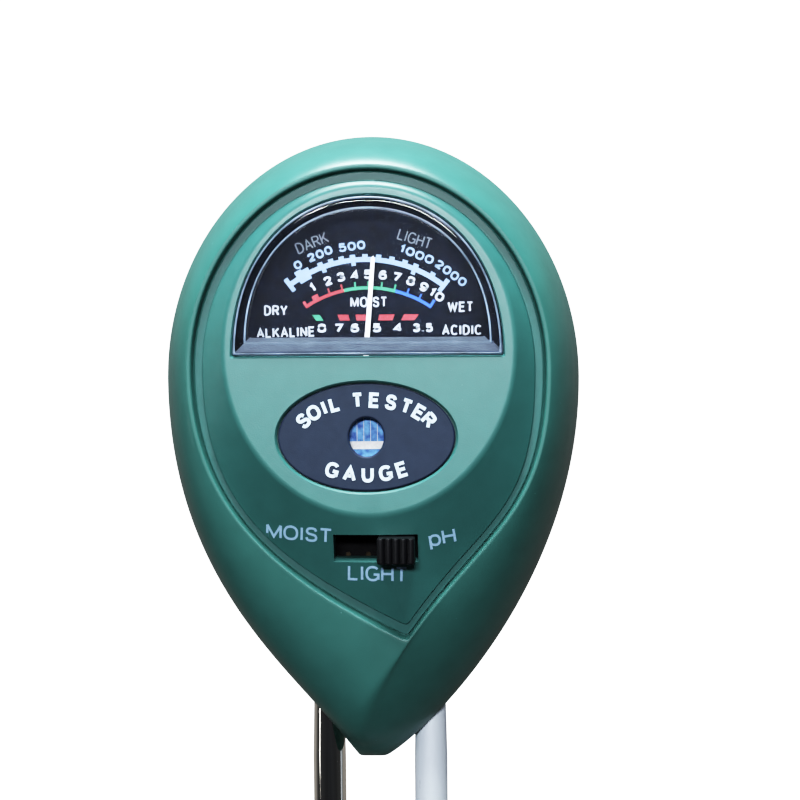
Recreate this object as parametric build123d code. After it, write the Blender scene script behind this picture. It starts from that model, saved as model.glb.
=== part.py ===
from build123d import *
from dataclasses import astuple, dataclass
import math
import os

# Three-way soil meter: a drop-shaped plastic head on two long metal probes. All sizes are in millimetres.
#
# The pieces are modelled about the middle of the head's widest line: X to the right as the dial is read,
# Y from the front (negative) to the back with the probes' axes at 0, Z up along the probes. They are
# written out with the origin at the height of the head's lower tip, the highest that the soil can come.

# Head
HEAD_TIP_Z = -57.5
PARTING_Y = -3.0
LIP_Y = -14.5
REAR_Y = 17.0
WALL = 1.8

# Recess round the face panel
MOAT_Y = -13.4
MOAT_WIDTH = 1.4
MOAT_BACK_Y = -11.6
LIP_WIDTH = 0.95
GAP = 0.15

# Face panel
PANEL_EDGE_Y = -14.1
PANEL_SKIN = 1.5
PLATEAU_Y = -16.0
FACE_TILT = 3.5
FACE_TILT_Z = 5.0

# Dial window and dial
WINDOW_HALF_WIDTH = 19.8
WINDOW_SILL_Z = 4.2
WINDOW_TOP_Z = 27.5
WINDOW_FRONT_Y = -16.3
WINDOW_BACK_Y = -9.9
WINDOW_WALL = 1.6
DIAL_Y = -8.2
DIAL_THICKNESS = 0.5

# Badge, sensor hole and photocell
BADGE_X = -0.2
BADGE_Z = -7.85
BADGE_HALF_WIDTH = 13.0
BADGE_HALF_HEIGHT = 7.9
BADGE_FRONT_Y = -15.75
BADGE_THICKNESS = 0.85
SENSOR_HALF_WIDTH = 2.55
SENSOR_HALF_HEIGHT = 2.85
CELL_SIDE = 6.6
CELL_FRONT_Y = -14.4
HOLDER_REAR_Y = -12.4

# Slide switch
SLOT_LEFT = -5.16
SLOT_RIGHT = 7.14
SLOT_TOP = -22.25
SLOT_BOTTOM = -26.35
KNOB_WIDTH = 5.5
KNOB_FRONT_Y = -20.1
KNOB_RIBS = 5
SWITCH_TRAVEL = 6.0
SLOT_CLEARANCE = 0.16
SLOT_END_CLEARANCE = 0.28

# Probes
PROBE_LEFT_X = -7.3
PROBE_RIGHT_X = 8.2
PROBE_RADIUS = 2.5
SHANK_RADIUS = 2.33
SHOULDER_Z = -57.8
NECK_Z = -50.0
PROBE_TOP_Z = -34.0
PROBE_END_Z = -238.8
PROBE_GROOVE_Z = -37.2
SOCKET_TOP_Z = -41.2
CRADLE_TOP_Z = -38.4
CLAMP_SCREW_X = (PROBE_LEFT_X + PROBE_RIGHT_X) / 2

# Needle movement
PIVOT_X = -1.0
PIVOT_Z = -1.2
NEEDLE_LENGTH = 19.8
NEEDLE_ANGLE = 4.65
NEEDLE_Y = -9.3
STAFF_RADIUS = 0.35
BEARING_BORE = 0.42
MAGNET_RADIUS = 4.9
MAGNET_HALF_LENGTH = 3.8
YOKE_INNER = 7.3
YOKE_OUTER = 9.0

# Screws that close the case: (x, z)
UPPER_SCREWS = [(-24.5, 8.0), (24.5, 8.0)]
LOWER_SCREW = (0.5, -46.5)

QUARTER_ARC_HANDLE = 0.5523


@dataclass
class Drop:
    """A drop outline in an XZ plane: half an ellipse above the widest line, two curves down to a flat tip.

    Each lower curve leaves the widest line straight down for its drop, and arrives at the tip at its
    angle from the vertical, along a handle as long as its reach."""

    centre_x: float
    wide_z: float
    half_width: float
    crown_z: float
    tip_x: float
    tip_z: float
    tip_flat: float
    left_drop: float
    left_angle: float
    left_reach: float
    right_drop: float
    right_angle: float
    right_reach: float


OUTLINE = Drop(0.0, 0.0, 31.0, 36.2, -0.5, HEAD_TIP_Z, 3.95, 33.0, 33.0, 14.0, 32.0, 63.0, 6.0)
LIP_INNER = Drop(0.0, 2.0, 25.9, 31.1, 5.3, -37.7, 0.4, 20.0, 64.0, 22.0, 22.0, 35.0, 20.0)
PLATEAU = Drop(
    0.2, 5.0, 20.9, 29.0, 0.2, -19.0, 0.4,
    QUARTER_ARC_HANDLE * 24.0, 90.0, QUARTER_ARC_HANDLE * 20.9,
    QUARTER_ARC_HANDLE * 24.0, 90.0, QUARTER_ARC_HANDLE * 20.9,
)
REAR_CROWN = Drop(0.0, 0.0, 16.0, 21.0, 0.0, -27.0, 2.0, 14.0, 52.0, 9.0, 14.0, 52.0, 9.0)

# The crease that twists down from the corner of the lip to the tip: handles of one cubic curve
CREASE_LOW_HANDLE = (-3.2, -52.5)
CREASE_HIGH_HANDLE = (-1.6, -48.0)


def blend(a, b, w):
    """The drop that is w of the way from a to b."""
    return Drop(*[p + (q - p) * w for p, q in zip(astuple(a), astuple(b))])


def inset(drop, d):
    """The drop moved inwards by d: its tip rises further than its sides, as on any sharp corner."""
    tip_rise = d / math.sin(math.radians((drop.left_angle + drop.right_angle) / 2))
    return Drop(
        drop.centre_x, drop.wide_z, drop.half_width - d, drop.crown_z - d,
        drop.tip_x, drop.tip_z + tip_rise, drop.tip_flat,
        drop.left_drop, drop.left_angle, drop.left_reach,
        drop.right_drop, drop.right_angle, drop.right_reach,
    )


def drop_face(drop, y):
    """The drop as a flat face at depth y."""
    d = drop
    k = QUARTER_ARC_HANDLE
    rise = d.crown_z - d.wide_z
    left = (d.centre_x - d.half_width, y, d.wide_z)
    right = (d.centre_x + d.half_width, y, d.wide_z)
    crown = (d.centre_x, y, d.crown_z)
    tip_left = (d.tip_x - d.tip_flat / 2, y, d.tip_z)
    tip_right = (d.tip_x + d.tip_flat / 2, y, d.tip_z)
    left_angle = math.radians(d.left_angle)
    right_angle = math.radians(d.right_angle)
    left_handle = (
        tip_left[0] - d.left_reach * math.sin(left_angle), y, d.tip_z + d.left_reach * math.cos(left_angle)
    )
    right_handle = (
        tip_right[0] + d.right_reach * math.sin(right_angle), y, d.tip_z + d.right_reach * math.cos(right_angle)
    )
    edges = [
        Bezier(left, (left[0], y, d.wide_z + k * rise), (d.centre_x - k * d.half_width, y, d.crown_z), crown),
        Bezier(crown, (d.centre_x + k * d.half_width, y, d.crown_z), (right[0], y, d.wide_z + k * rise), right),
        Bezier(right, (right[0], y, d.wide_z - d.right_drop), right_handle, tip_right),
        Line(tip_right, tip_left),
        Bezier(tip_left, left_handle, (left[0], y, d.wide_z - d.left_drop), left),
    ]
    return Face(Wire(edges))


def slab(drop, y_front, y_back):
    """A straight-sided piece with the drop's outline."""
    return extrude(drop_face(drop, y_front), amount=y_back - y_front, dir=(0, 1, 0))


def box(x0, x1, y0, y1, z0, z1):
    """A box between two corners."""
    return Pos((x0 + x1) / 2, (y0 + y1) / 2, (z0 + z1) / 2) * Box(x1 - x0, y1 - y0, z1 - z0)


def rod(x, z, radius, y0, y1):
    """A round bar along Y."""
    return Pos(x, (y0 + y1) / 2, z) * Rot(90, 0, 0) * Cylinder(radius, y1 - y0)


def upright(x, y, radius, z0, z1):
    """A round bar along Z."""
    return Pos(x, y, (z0 + z1) / 2) * Cylinder(radius, z1 - z0)


def oval(x, z, half_width, half_height, y0, y1):
    """An oval plate that faces along Y."""
    face = Plane.XZ * Pos(x, z) * Ellipse(half_width, half_height)
    return Pos(0, y0, 0) * extrude(face, amount=y1 - y0, dir=(0, 1, 0))


def on_face(shape):
    """The shape tilted with the plateau, which looks slightly upwards: its lower end stands prouder."""
    return Pos(0, PLATEAU_Y, FACE_TILT_Z) * Rot(-FACE_TILT, 0, 0) * Pos(0, -PLATEAU_Y, -FACE_TILT_Z) * shape


# ---- Case ----


def crease_point(w):
    """The tip of the front shell's outline, w of the way from the parting line to the lip's corner."""
    start = (OUTLINE.tip_x, OUTLINE.tip_z)
    end = (LIP_INNER.tip_x, LIP_INNER.tip_z - LIP_WIDTH)
    weights = ((1 - w) ** 3, 3 * (1 - w) ** 2 * w, 3 * (1 - w) * w**2, w**3)
    points = (start, CREASE_LOW_HANDLE, CREASE_HIGH_HANDLE, end)
    return tuple(sum(k * p[i] for k, p in zip(weights, points)) for i in (0, 1))


def front_section(turn):
    """The front shell's outline where its rim has rolled over by turn degrees: 0 at the parting line."""
    w = 1 - math.cos(math.radians(turn))
    drop = blend(OUTLINE, inset(LIP_INNER, -LIP_WIDTH), w)
    drop.tip_x, drop.tip_z = crease_point(w)
    return drop


def front_skin(wall, y_front):
    """The rolled outer form of the front shell, moved in by wall, as a solid."""
    turns = (0, 22.5, 45, 67.5, 90)
    depth = PARTING_Y - y_front
    faces = [
        drop_face(inset(front_section(turn), wall), PARTING_Y - depth * math.sin(math.radians(turn)))
        for turn in turns
    ]
    return loft(faces)


def front_shell():
    shell = front_skin(0, LIP_Y) - front_skin(WALL, MOAT_BACK_Y)
    posts = [rod(x, z, 2.7, -10.2, PARTING_Y) for x, z in UPPER_SCREWS]
    posts.append(rod(*LOWER_SCREW, 2.8, -12.0, PARTING_Y))
    for post in posts:
        shell += post & front_skin(0.6, LIP_Y + 0.6)
    # The recess: a lip with a sloping inner side, a floor, and the opening for the panel
    shell -= loft([drop_face(inset(LIP_INNER, -0.5), LIP_Y - 0.1), drop_face(LIP_INNER, MOAT_Y)])
    shell -= slab(inset(LIP_INNER, MOAT_WIDTH - GAP), LIP_Y, MOAT_BACK_Y + 1)
    for x, z in (*UPPER_SCREWS, LOWER_SCREW):
        shell -= rod(x, z, 1.1, -9.2, PARTING_Y)
    return shell


def rear_section(turn):
    return blend(OUTLINE, REAR_CROWN, 1 - math.cos(math.radians(turn)))


def rear_skin(wall):
    """The domed form of the rear shell, moved in by wall, as a solid."""
    depth = REAR_Y - wall - PARTING_Y
    faces = [
        drop_face(inset(rear_section(turn), wall), PARTING_Y + depth * math.sin(math.radians(turn)))
        for turn in (0, 22.5, 45, 67.5, 90)
    ]
    return loft(faces)


def rear_shell():
    outer = rear_skin(0)
    hollow = rear_skin(WALL) & box(-40, 40, PARTING_Y, 30, SOCKET_TOP_Z, 50)
    shell = outer - hollow
    cradle = box(-12.4, 12.4, 0.1, 30, SOCKET_TOP_Z - 1, CRADLE_TOP_Z) & outer
    shell += cradle
    for x, z in UPPER_SCREWS:
        shell += rod(x, z, 3.8, PARTING_Y, 30) & rear_skin(0.5)
    for x, z in (*UPPER_SCREWS, LOWER_SCREW):
        shell -= rod(x, z, 1.4, PARTING_Y, 10)
        shell -= rod(x, z, 2.6, 3.4, 30)
    for x in (PROBE_LEFT_X, PROBE_RIGHT_X):
        shell -= upright(x, 0, SHANK_RADIUS + 0.03, -70, CRADLE_TOP_Z)
        shell -= upright(x, 0, PROBE_RADIUS + 0.03, -70, NECK_Z)
    shell -= rod(CLAMP_SCREW_X, (SOCKET_TOP_Z + CRADLE_TOP_Z) / 2, 1.1, 0, 7)
    return shell


def pan_screw(x, z, y_head, head_radius, head_height, shank_radius, length):
    """A round-headed screw along Y. A positive length points to the back."""
    away = math.copysign(1, length)
    head_y = sorted((y_head, y_head - away * head_height))
    shank_y = sorted((y_head, y_head + length))
    screw = rod(x, z, head_radius, *head_y) + rod(x, z, shank_radius, *shank_y)
    middle_y = y_head - away * head_height
    slot_y = sorted((middle_y, middle_y + away * head_height * 0.45))
    screw -= box(x - head_radius * 0.6, x + head_radius * 0.6, *slot_y, z - 0.2, z + 0.2)
    screw -= box(x - 0.2, x + 0.2, *slot_y, z - head_radius * 0.6, z + head_radius * 0.6)
    return screw


def case_screws():
    return Compound(children=[pan_screw(x, z, 3.4, 2.4, 1.7, 1.05, -12) for x, z in (*UPPER_SCREWS, LOWER_SCREW)])


# ---- Face ----


def arch_face(offset, y):
    """The window's outline: flat sill, tall round arch. It is offset outwards."""
    half = WINDOW_HALF_WIDTH + offset
    sill = WINDOW_SILL_Z - offset
    top = WINDOW_TOP_Z + offset
    rise = top - sill
    edges = [
        Line((-half, y, sill), (half, y, sill)),
        Bezier((half, y, sill), (half, y, sill + 0.62 * rise), (0.56 * half, y, top), (0, y, top)),
        Bezier((0, y, top), (-0.56 * half, y, top), (-half, y, sill + 0.62 * rise), (-half, y, sill)),
    ]
    return Face(Wire(edges))


def arch(offset, y0, y1):
    return extrude(arch_face(offset, y0), amount=y1 - y0, dir=(0, 1, 0))


MOVEMENT_POSTS = [(-17.25, -3.0), (17.25, -3.0)]
BOARD_POSTS = [(-12.5, -19.0), (14.5, -19.0)]
BOARD_FRONT_Y = -7.4
EAR_FRONT_Y = -8.0


def face_panel():
    edge = inset(LIP_INNER, MOAT_WIDTH)
    panel = slab(edge, PANEL_EDGE_Y, MOAT_BACK_Y + 0.2)
    panel += loft([drop_face(edge, PANEL_EDGE_Y), on_face(drop_face(PLATEAU, PLATEAU_Y))])
    panel += slab(inset(edge, -1.0), MOAT_BACK_Y + 0.2, MOAT_BACK_Y + 1.0)
    hollow_y = PANEL_EDGE_Y + PANEL_SKIN + 0.2
    panel -= slab(inset(edge, PANEL_SKIN), hollow_y, MOAT_BACK_Y + 1.0)
    panel -= loft([
        drop_face(inset(edge, PANEL_SKIN), hollow_y),
        on_face(drop_face(inset(PLATEAU, 0.4), PLATEAU_Y + PANEL_SKIN)),
    ])
    panel += oval(BADGE_X, BADGE_Z, BADGE_HALF_WIDTH + 1.4, BADGE_HALF_HEIGHT + 1.4, PLATEAU_Y + 0.3, CELL_FRONT_Y)
    for x, z in MOVEMENT_POSTS:
        panel += rod(x, z, 2.1, PLATEAU_Y + 0.4, EAR_FRONT_Y)
        panel -= rod(x, z, 0.8, -13.0, EAR_FRONT_Y)
    for x, z in BOARD_POSTS:
        panel += rod(x, z, 1.7, PLATEAU_Y + 1.4, BOARD_FRONT_Y)
        panel -= rod(x, z, 0.7, -12.0, BOARD_FRONT_Y)
    panel -= on_face(arch(GAP, -20, 0))
    badge_back = BADGE_FRONT_Y + BADGE_THICKNESS
    pocket = oval(BADGE_X, BADGE_Z, BADGE_HALF_WIDTH + GAP, BADGE_HALF_HEIGHT + GAP, -20, badge_back)
    panel -= on_face(pocket)
    panel -= rod(BADGE_X, BADGE_Z, 3.5, -20, 0)
    panel -= box(SLOT_LEFT, SLOT_RIGHT, -20, 0, SLOT_BOTTOM, SLOT_TOP)
    return panel


def dial_window():
    cap = arch(0, WINDOW_FRONT_Y, WINDOW_BACK_Y)
    cap -= arch(-WINDOW_WALL, WINDOW_FRONT_Y + 1.2, 0)
    for side in (-1, 1):
        # Ears behind the panel, which hold the cap in its opening
        inner, outer = sorted((side * (WINDOW_HALF_WIDTH - 0.3), side * (WINDOW_HALF_WIDTH + 0.4)))
        cap += box(inner, outer, PLATEAU_Y + PANEL_SKIN + 0.2, -13.2, 5.5, 9.5)
    return on_face(cap)


DIAL_SCREWS = [(-14.0, 2.3), (14.0, 2.3)]


def dial_plate():
    plate = arch(1.0, DIAL_Y, DIAL_Y + DIAL_THICKNESS)
    foot = box(-16.5, 16.5, DIAL_Y, DIAL_Y + DIAL_THICKNESS, 1.2, WINDOW_SILL_Z)
    plate += foot
    for x, z in DIAL_SCREWS:
        plate -= rod(x, z, 0.6, DIAL_Y - 1, DIAL_Y + 1)
    return plate


def dial_screws():
    return Compound(children=[pan_screw(x, z, DIAL_Y, 0.85, 0.6, 0.5, 1.8) for x, z in DIAL_SCREWS])


def badge_plate():
    back = BADGE_FRONT_Y + BADGE_THICKNESS
    plate = oval(BADGE_X, BADGE_Z, BADGE_HALF_WIDTH, BADGE_HALF_HEIGHT, BADGE_FRONT_Y, back)
    return on_face(plate - oval(BADGE_X, BADGE_Z, SENSOR_HALF_WIDTH, SENSOR_HALF_HEIGHT, -20, 0))


def photocell():
    half = CELL_SIDE / 2
    return box(BADGE_X - half, BADGE_X + half, CELL_FRONT_Y, CELL_FRONT_Y + 0.5, BADGE_Z - half, BADGE_Z + half)


def cell_holder():
    half = CELL_SIDE / 2 + 0.9
    pocket = CELL_SIDE / 2 + 0.1
    holder = box(BADGE_X - half, BADGE_X + half, CELL_FRONT_Y, HOLDER_REAR_Y, BADGE_Z - half, BADGE_Z + half)
    floor_y = CELL_FRONT_Y + 0.55
    holder -= box(BADGE_X - pocket, BADGE_X + pocket, -20, floor_y, BADGE_Z - pocket, BADGE_Z + pocket)
    return holder


# ---- Switch and circuit board ----

SWITCH_X = (SLOT_LEFT + SLOT_RIGHT) / 2
SWITCH_Z = (SLOT_TOP + SLOT_BOTTOM) / 2
KNOB_RIGHT = SLOT_RIGHT - SLOT_END_CLEARANCE
KNOB_X = KNOB_RIGHT - KNOB_WIDTH / 2
CAN_HALF_LENGTH = 7.5
CAN_HALF_HEIGHT = 2.8
CAN_FRONT_Y = -12.5
CAN_WALL = 0.4
BASE_FRONT_Y = -9.6
BASE_BACK_Y = -8.3
PIN_ROWS = (-1.6, 1.6)
PIN_COLUMNS = (-4.5, -1.5, 1.5, 4.5)


def switch_can():
    can = box(
        SWITCH_X - CAN_HALF_LENGTH, SWITCH_X + CAN_HALF_LENGTH, CAN_FRONT_Y, BASE_BACK_Y,
        SWITCH_Z - CAN_HALF_HEIGHT, SWITCH_Z + CAN_HALF_HEIGHT,
    )
    inside_length = CAN_HALF_LENGTH - CAN_WALL
    inside_height = CAN_HALF_HEIGHT - CAN_WALL
    can -= box(
        SWITCH_X - inside_length, SWITCH_X + inside_length, CAN_FRONT_Y + CAN_WALL, 0,
        SWITCH_Z - inside_height, SWITCH_Z + inside_height,
    )
    return can - box(SLOT_LEFT - 0.1, SLOT_RIGHT + 0.1, -20, 0, SLOT_BOTTOM - 0.1, SLOT_TOP + 0.1)


def switch_base():
    half_length = CAN_HALF_LENGTH - CAN_WALL
    half_height = CAN_HALF_HEIGHT - CAN_WALL
    base = box(
        SWITCH_X - half_length, SWITCH_X + half_length, BASE_FRONT_Y, BASE_BACK_Y,
        SWITCH_Z - half_height, SWITCH_Z + half_height,
    )
    for row in PIN_ROWS:
        for column in PIN_COLUMNS:
            base -= rod(SWITCH_X + column, SWITCH_Z + row, 0.4, -12, 0)
    return base


def switch_terminals():
    pins = [
        rod(SWITCH_X + column, SWITCH_Z + row, 0.37, BASE_FRONT_Y, BOARD_FRONT_Y + 1.9)
        for row in PIN_ROWS
        for column in PIN_COLUMNS
    ]
    return Compound(children=pins)


def switch_knob():
    top = SLOT_TOP - SLOT_CLEARANCE
    bottom = SLOT_BOTTOM + SLOT_CLEARANCE
    left = KNOB_RIGHT - KNOB_WIDTH
    knob = box(left, KNOB_RIGHT, KNOB_FRONT_Y + 0.4, CAN_FRONT_Y + 0.6, bottom, top)
    pitch = KNOB_WIDTH / KNOB_RIBS
    for i in range(KNOB_RIBS):
        middle = left + pitch * (i + 0.5)
        knob += box(middle - pitch * 0.3, middle + pitch * 0.3, KNOB_FRONT_Y, KNOB_FRONT_Y + 1, bottom, top)
    foot_half = CAN_HALF_HEIGHT - CAN_WALL - 0.15
    knob += box(left, KNOB_RIGHT, CAN_FRONT_Y + 0.5, -11.2, SWITCH_Z - foot_half, SWITCH_Z + foot_half)
    return knob


def switch_wiper():
    """Two sprung contact bridges, one for each row of pins."""
    bridges = []
    for row in PIN_ROWS:
        z = SWITCH_Z + row
        bridge = box(KNOB_X - 2.3, KNOB_X + 2.3, -11.2, -10.9, z - 0.6, z + 0.6)
        for side in (-1, 1):
            bridge += box(KNOB_X + side * 1.9 - 0.35, KNOB_X + side * 1.9 + 0.35, -11.0, -9.75, z - 0.5, z + 0.5)
        bridges.append(bridge)
    return Compound(children=bridges)


def circuit_board():
    board = box(-15.0, 17.0, BOARD_FRONT_Y, BOARD_FRONT_Y + 1.2, -31.0, -17.0)
    for x, z in BOARD_POSTS:
        board -= rod(x, z, 0.9, -10, 0)
    for row in PIN_ROWS:
        for column in PIN_COLUMNS:
            board -= rod(SWITCH_X + column, SWITCH_Z + row, 0.42, -10, 0)
    return board


def board_screws():
    back = BOARD_FRONT_Y + 1.2
    return Compound(children=[pan_screw(x, z, back, 1.5, 1.0, 0.7, -4.5) for x, z in BOARD_POSTS])


def resistors():
    """Three range resistors that lie across the back of the board."""
    back = BOARD_FRONT_Y + 1.2
    found = []
    for z in (-20.6, -27.6, -29.4):
        resistor = Pos(SWITCH_X, back + 0.9, z) * Rot(0, 90, 0) * Cylinder(0.8, 4.4)
        for side in (-1, 1):
            near, far = sorted((SWITCH_X + side * 2.1, SWITCH_X + side * 4.0))
            resistor += box(near, far, back + 0.7, back + 1.1, z - 0.2, z + 0.2)
            near, far = sorted((SWITCH_X + side * 3.6, SWITCH_X + side * 4.0))
            resistor += box(near, far, back, back + 0.8, z - 0.2, z + 0.2)
        found.append(resistor)
    return Compound(children=found)


# ---- Probes ----


def probe(x):
    """A round rod with a blunt domed end, which tapers a little to the shank that the head grips.

    A groove near its top takes its solder lug."""
    dome_z = PROBE_END_Z + PROBE_RADIUS
    shaft = upright(x, 0, PROBE_RADIUS, dome_z, SHOULDER_Z)
    shaft += Pos(x, 0, (SHOULDER_Z + NECK_Z) / 2) * Cone(PROBE_RADIUS, SHANK_RADIUS, NECK_Z - SHOULDER_Z)
    shaft += upright(x, 0, SHANK_RADIUS, NECK_Z, PROBE_TOP_Z)
    shaft += Pos(x, 0, dome_z) * Sphere(PROBE_RADIUS)
    groove = upright(x, 0, PROBE_RADIUS + 1, PROBE_GROOVE_Z - 0.3, PROBE_GROOVE_Z + 0.3)
    groove -= upright(x, 0, PROBE_RADIUS - 0.4, PROBE_GROOVE_Z - 1, PROBE_GROOVE_Z + 1)
    return shaft - groove


def probe_lugs():
    lugs = []
    for x in (PROBE_LEFT_X, PROBE_RIGHT_X):
        low, high = PROBE_GROOVE_Z - 0.25, PROBE_GROOVE_Z + 0.25
        lug = upright(x, 0, 3.9, low, high) + box(x - 0.9, x + 0.9, -5.4, -3.0, low, high)
        lug -= upright(x, 0, PROBE_RADIUS - 0.38, low - 1, high + 1)
        lugs.append(lug)
    return Compound(children=lugs)


def probe_clamp():
    clamp = box(-12.2, 12.2, -4.6, -0.1, SOCKET_TOP_Z + 0.1, CRADLE_TOP_Z)
    for x in (PROBE_LEFT_X, PROBE_RIGHT_X):
        clamp -= upright(x, 0, SHANK_RADIUS + 0.03, -50, -30)
    return clamp - rod(CLAMP_SCREW_X, (SOCKET_TOP_Z + CRADLE_TOP_Z) / 2, 1.2, -10, 10)


def clamp_screw():
    return pan_screw(CLAMP_SCREW_X, (SOCKET_TOP_Z + CRADLE_TOP_Z) / 2, -4.6, 1.3, 1.2, 1.05, 10.5)


# ---- Needle movement ----

COIL_HALF_LENGTH = 5.0
COIL_RADIUS = 6.8
COIL_THICKNESS = 2.6
FRAME_BACK_Y = 5.9
BAR_FRONT_Y = DIAL_Y + DIAL_THICKNESS + 0.1
EAR_TOP_Z = 1.0
BRIDGE_Y = -12.2


def movement_frame():
    x, z = PIVOT_X, PIVOT_Z
    frame = box(x - 11, x + 11, FRAME_BACK_Y, FRAME_BACK_Y + 1.5, z - 10, z + 10)
    for side in (-1, 1):
        near, far = sorted((x + side * 9.3, x + side * 11))
        frame += box(near, far, EAR_FRONT_Y, FRAME_BACK_Y, z - 5, EAR_TOP_Z)
        frame += box(near, far, BAR_FRONT_Y, FRAME_BACK_Y, z - 5, 3.6)
        near, far = sorted((x + side * 9.3, side * 19.6))
        frame += box(near, far, EAR_FRONT_Y, EAR_FRONT_Y + 1.2, z - 4, EAR_TOP_Z)
        # Pillars that hold the magnet inside the yoke, clear of the coil's swing
        low, high = sorted((z + side * (MAGNET_RADIUS + 0.05), z + side * (YOKE_INNER - 0.2)))
        frame += box(x - 1.2, x + 1.2, -MAGNET_HALF_LENGTH, FRAME_BACK_Y, low, high)
    frame += box(-16.5, 16.5, BAR_FRONT_Y, -6.6, EAR_TOP_Z, 3.6)
    for px, pz in MOVEMENT_POSTS:
        frame -= rod(px, pz, 1.0, -10, 0)
    for px, pz in DIAL_SCREWS:
        frame -= rod(px, pz, 0.52, -10, -6.0)
    for side in (-1, 1):
        frame -= rod(x + side * 12.6, z, 0.62, -10, -6.0)
    return frame - rod(x, z, 1.22, 0, 20)


def movement_magnet():
    return rod(PIVOT_X, PIVOT_Z, MAGNET_RADIUS, -MAGNET_HALF_LENGTH, MAGNET_HALF_LENGTH)


def movement_yoke():
    half = MAGNET_HALF_LENGTH
    return rod(PIVOT_X, PIVOT_Z, YOKE_OUTER, -half, half) - rod(PIVOT_X, PIVOT_Z, YOKE_INNER, -half, half)


def movement_screws():
    back = EAR_FRONT_Y + 1.2
    return Compound(children=[pan_screw(x, z, back, 1.7, 1.1, 0.78, -5.5) for x, z in MOVEMENT_POSTS])


def bearing_bridge():
    """A strip across the front of the coil, on two legs with screwed feet."""
    x, z = PIVOT_X, PIVOT_Z
    strip = box(x - 11, x + 11, BRIDGE_Y, BRIDGE_Y + 0.8, z - 1.7, z + 1.7)
    for side in (-1, 1):
        near, far = sorted((x + side * 10.2, x + side * 11))
        strip += box(near, far, BRIDGE_Y, EAR_FRONT_Y, z - 1.7, z + 1.7)
        near, far = sorted((x + side * 10.2, x + side * 14.0))
        strip += box(near, far, EAR_FRONT_Y - 0.8, EAR_FRONT_Y, z - 1.7, z + 1.7)
        strip -= rod(x + side * 12.6, z, 0.7, -10, 0)
    return strip - rod(x, z, 1.22, -20, 0)


def bridge_screws():
    places = [(PIVOT_X + side * 12.6, PIVOT_Z) for side in (-1, 1)]
    return Compound(children=[pan_screw(x, z, EAR_FRONT_Y - 0.8, 1.1, 0.7, 0.6, 1.9) for x, z in places])


def front_bearing():
    screw = rod(PIVOT_X, PIVOT_Z, 1.2, BRIDGE_Y - 0.7, BRIDGE_Y + 1.5)
    return screw - rod(PIVOT_X, PIVOT_Z, BEARING_BORE, BRIDGE_Y + 0.9, 0)


def rear_bearing():
    screw = rod(PIVOT_X, PIVOT_Z, 1.2, FRAME_BACK_Y - 0.1, FRAME_BACK_Y + 2.3)
    return screw - rod(PIVOT_X, PIVOT_Z, BEARING_BORE, 0, FRAME_BACK_Y + 1.2)


def coil():
    """A flat rectangular winding that turns round the magnet."""
    x, z = PIVOT_X, PIVOT_Z
    half_z = COIL_THICKNESS / 2
    winding = box(x - COIL_RADIUS, x + COIL_RADIUS, -COIL_HALF_LENGTH, COIL_HALF_LENGTH, z - half_z, z + half_z)
    return winding - box(x - 5.5, x + 5.5, -4.2, 4.2, z - half_z, z + half_z)


def pivot_staff():
    front = rod(PIVOT_X, PIVOT_Z, STAFF_RADIUS, BRIDGE_Y + 1.1, -COIL_HALF_LENGTH)
    rear = rod(PIVOT_X, PIVOT_Z, STAFF_RADIUS, COIL_HALF_LENGTH, FRAME_BACK_Y + 1.0)
    return Compound(children=[front, rear])


def needle_hub():
    hub = rod(PIVOT_X, PIVOT_Z, 1.25, NEEDLE_Y - 0.45, NEEDLE_Y + 0.55)
    return hub - rod(PIVOT_X, PIVOT_Z, STAFF_RADIUS + 0.01, -20, 0)


def about_pivot(shape, degrees):
    """The shape, drawn pointing up from the pivot, turned clockwise as the dial is read."""
    return Pos(PIVOT_X, 0, PIVOT_Z) * Rot(0, degrees, 0) * shape


def needle():
    """A thin tapered pointer, stiffened near its hub."""
    blade = Polyline((-0.42, 0.9), (0.42, 0.9), (0.3, NEEDLE_LENGTH - 0.4), (0, NEEDLE_LENGTH),
                     (-0.3, NEEDLE_LENGTH - 0.4), close=True)
    shape = extrude(make_face(Plane.XZ * blade), amount=0.25, dir=(0, 1, 0))
    shape = Pos(0, NEEDLE_Y, 0) * shape
    shape -= rod(0, 0, 1.26, -20, 0)
    return about_pivot(shape, NEEDLE_ANGLE)


def balance_weights():
    """Two tails opposite the pointer, each with a small weight."""
    tails = []
    for degrees in (140, 220):
        arm = box(-0.3, 0.3, NEEDLE_Y, NEEDLE_Y + 0.25, 1.26, 4.0) + rod(0, 4.2, 0.8, NEEDLE_Y - 0.3, NEEDLE_Y + 0.5)
        tails.append(about_pivot(arm, degrees + NEEDLE_ANGLE))
    return Compound(children=tails)


def hairspring(y):
    """A flat spiral of thin strip, from the staff out to its anchor."""
    turns, first_radius, pitch, thickness = 3.5, 0.6, 0.72, 0.12

    def arm(offset):
        steps = int(turns * 12)
        points = []
        for i in range(steps + 1):
            angle = 2 * math.pi * turns * i / steps
            radius = first_radius + pitch * turns * i / steps + offset
            points.append((radius * math.cos(angle), 0, radius * math.sin(angle)))
        return points

    inner, outer = arm(0), arm(thickness)
    edges = [Spline(inner), Line(inner[-1], outer[-1]), Spline(outer), Line(outer[0], inner[0])]
    strip = extrude(Face(Wire(edges)), amount=0.4, dir=(0, 1, 0))
    return Pos(PIVOT_X, y, PIVOT_Z) * strip


# ---- Wires ----

WIRE_RADIUS = 0.5
BOARD_BACK_Y = BOARD_FRONT_Y + 1.2
FRAME_REAR_Y = FRAME_BACK_Y + 1.5
LUG_TOP_Z = PROBE_GROOVE_Z + 0.25

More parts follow.
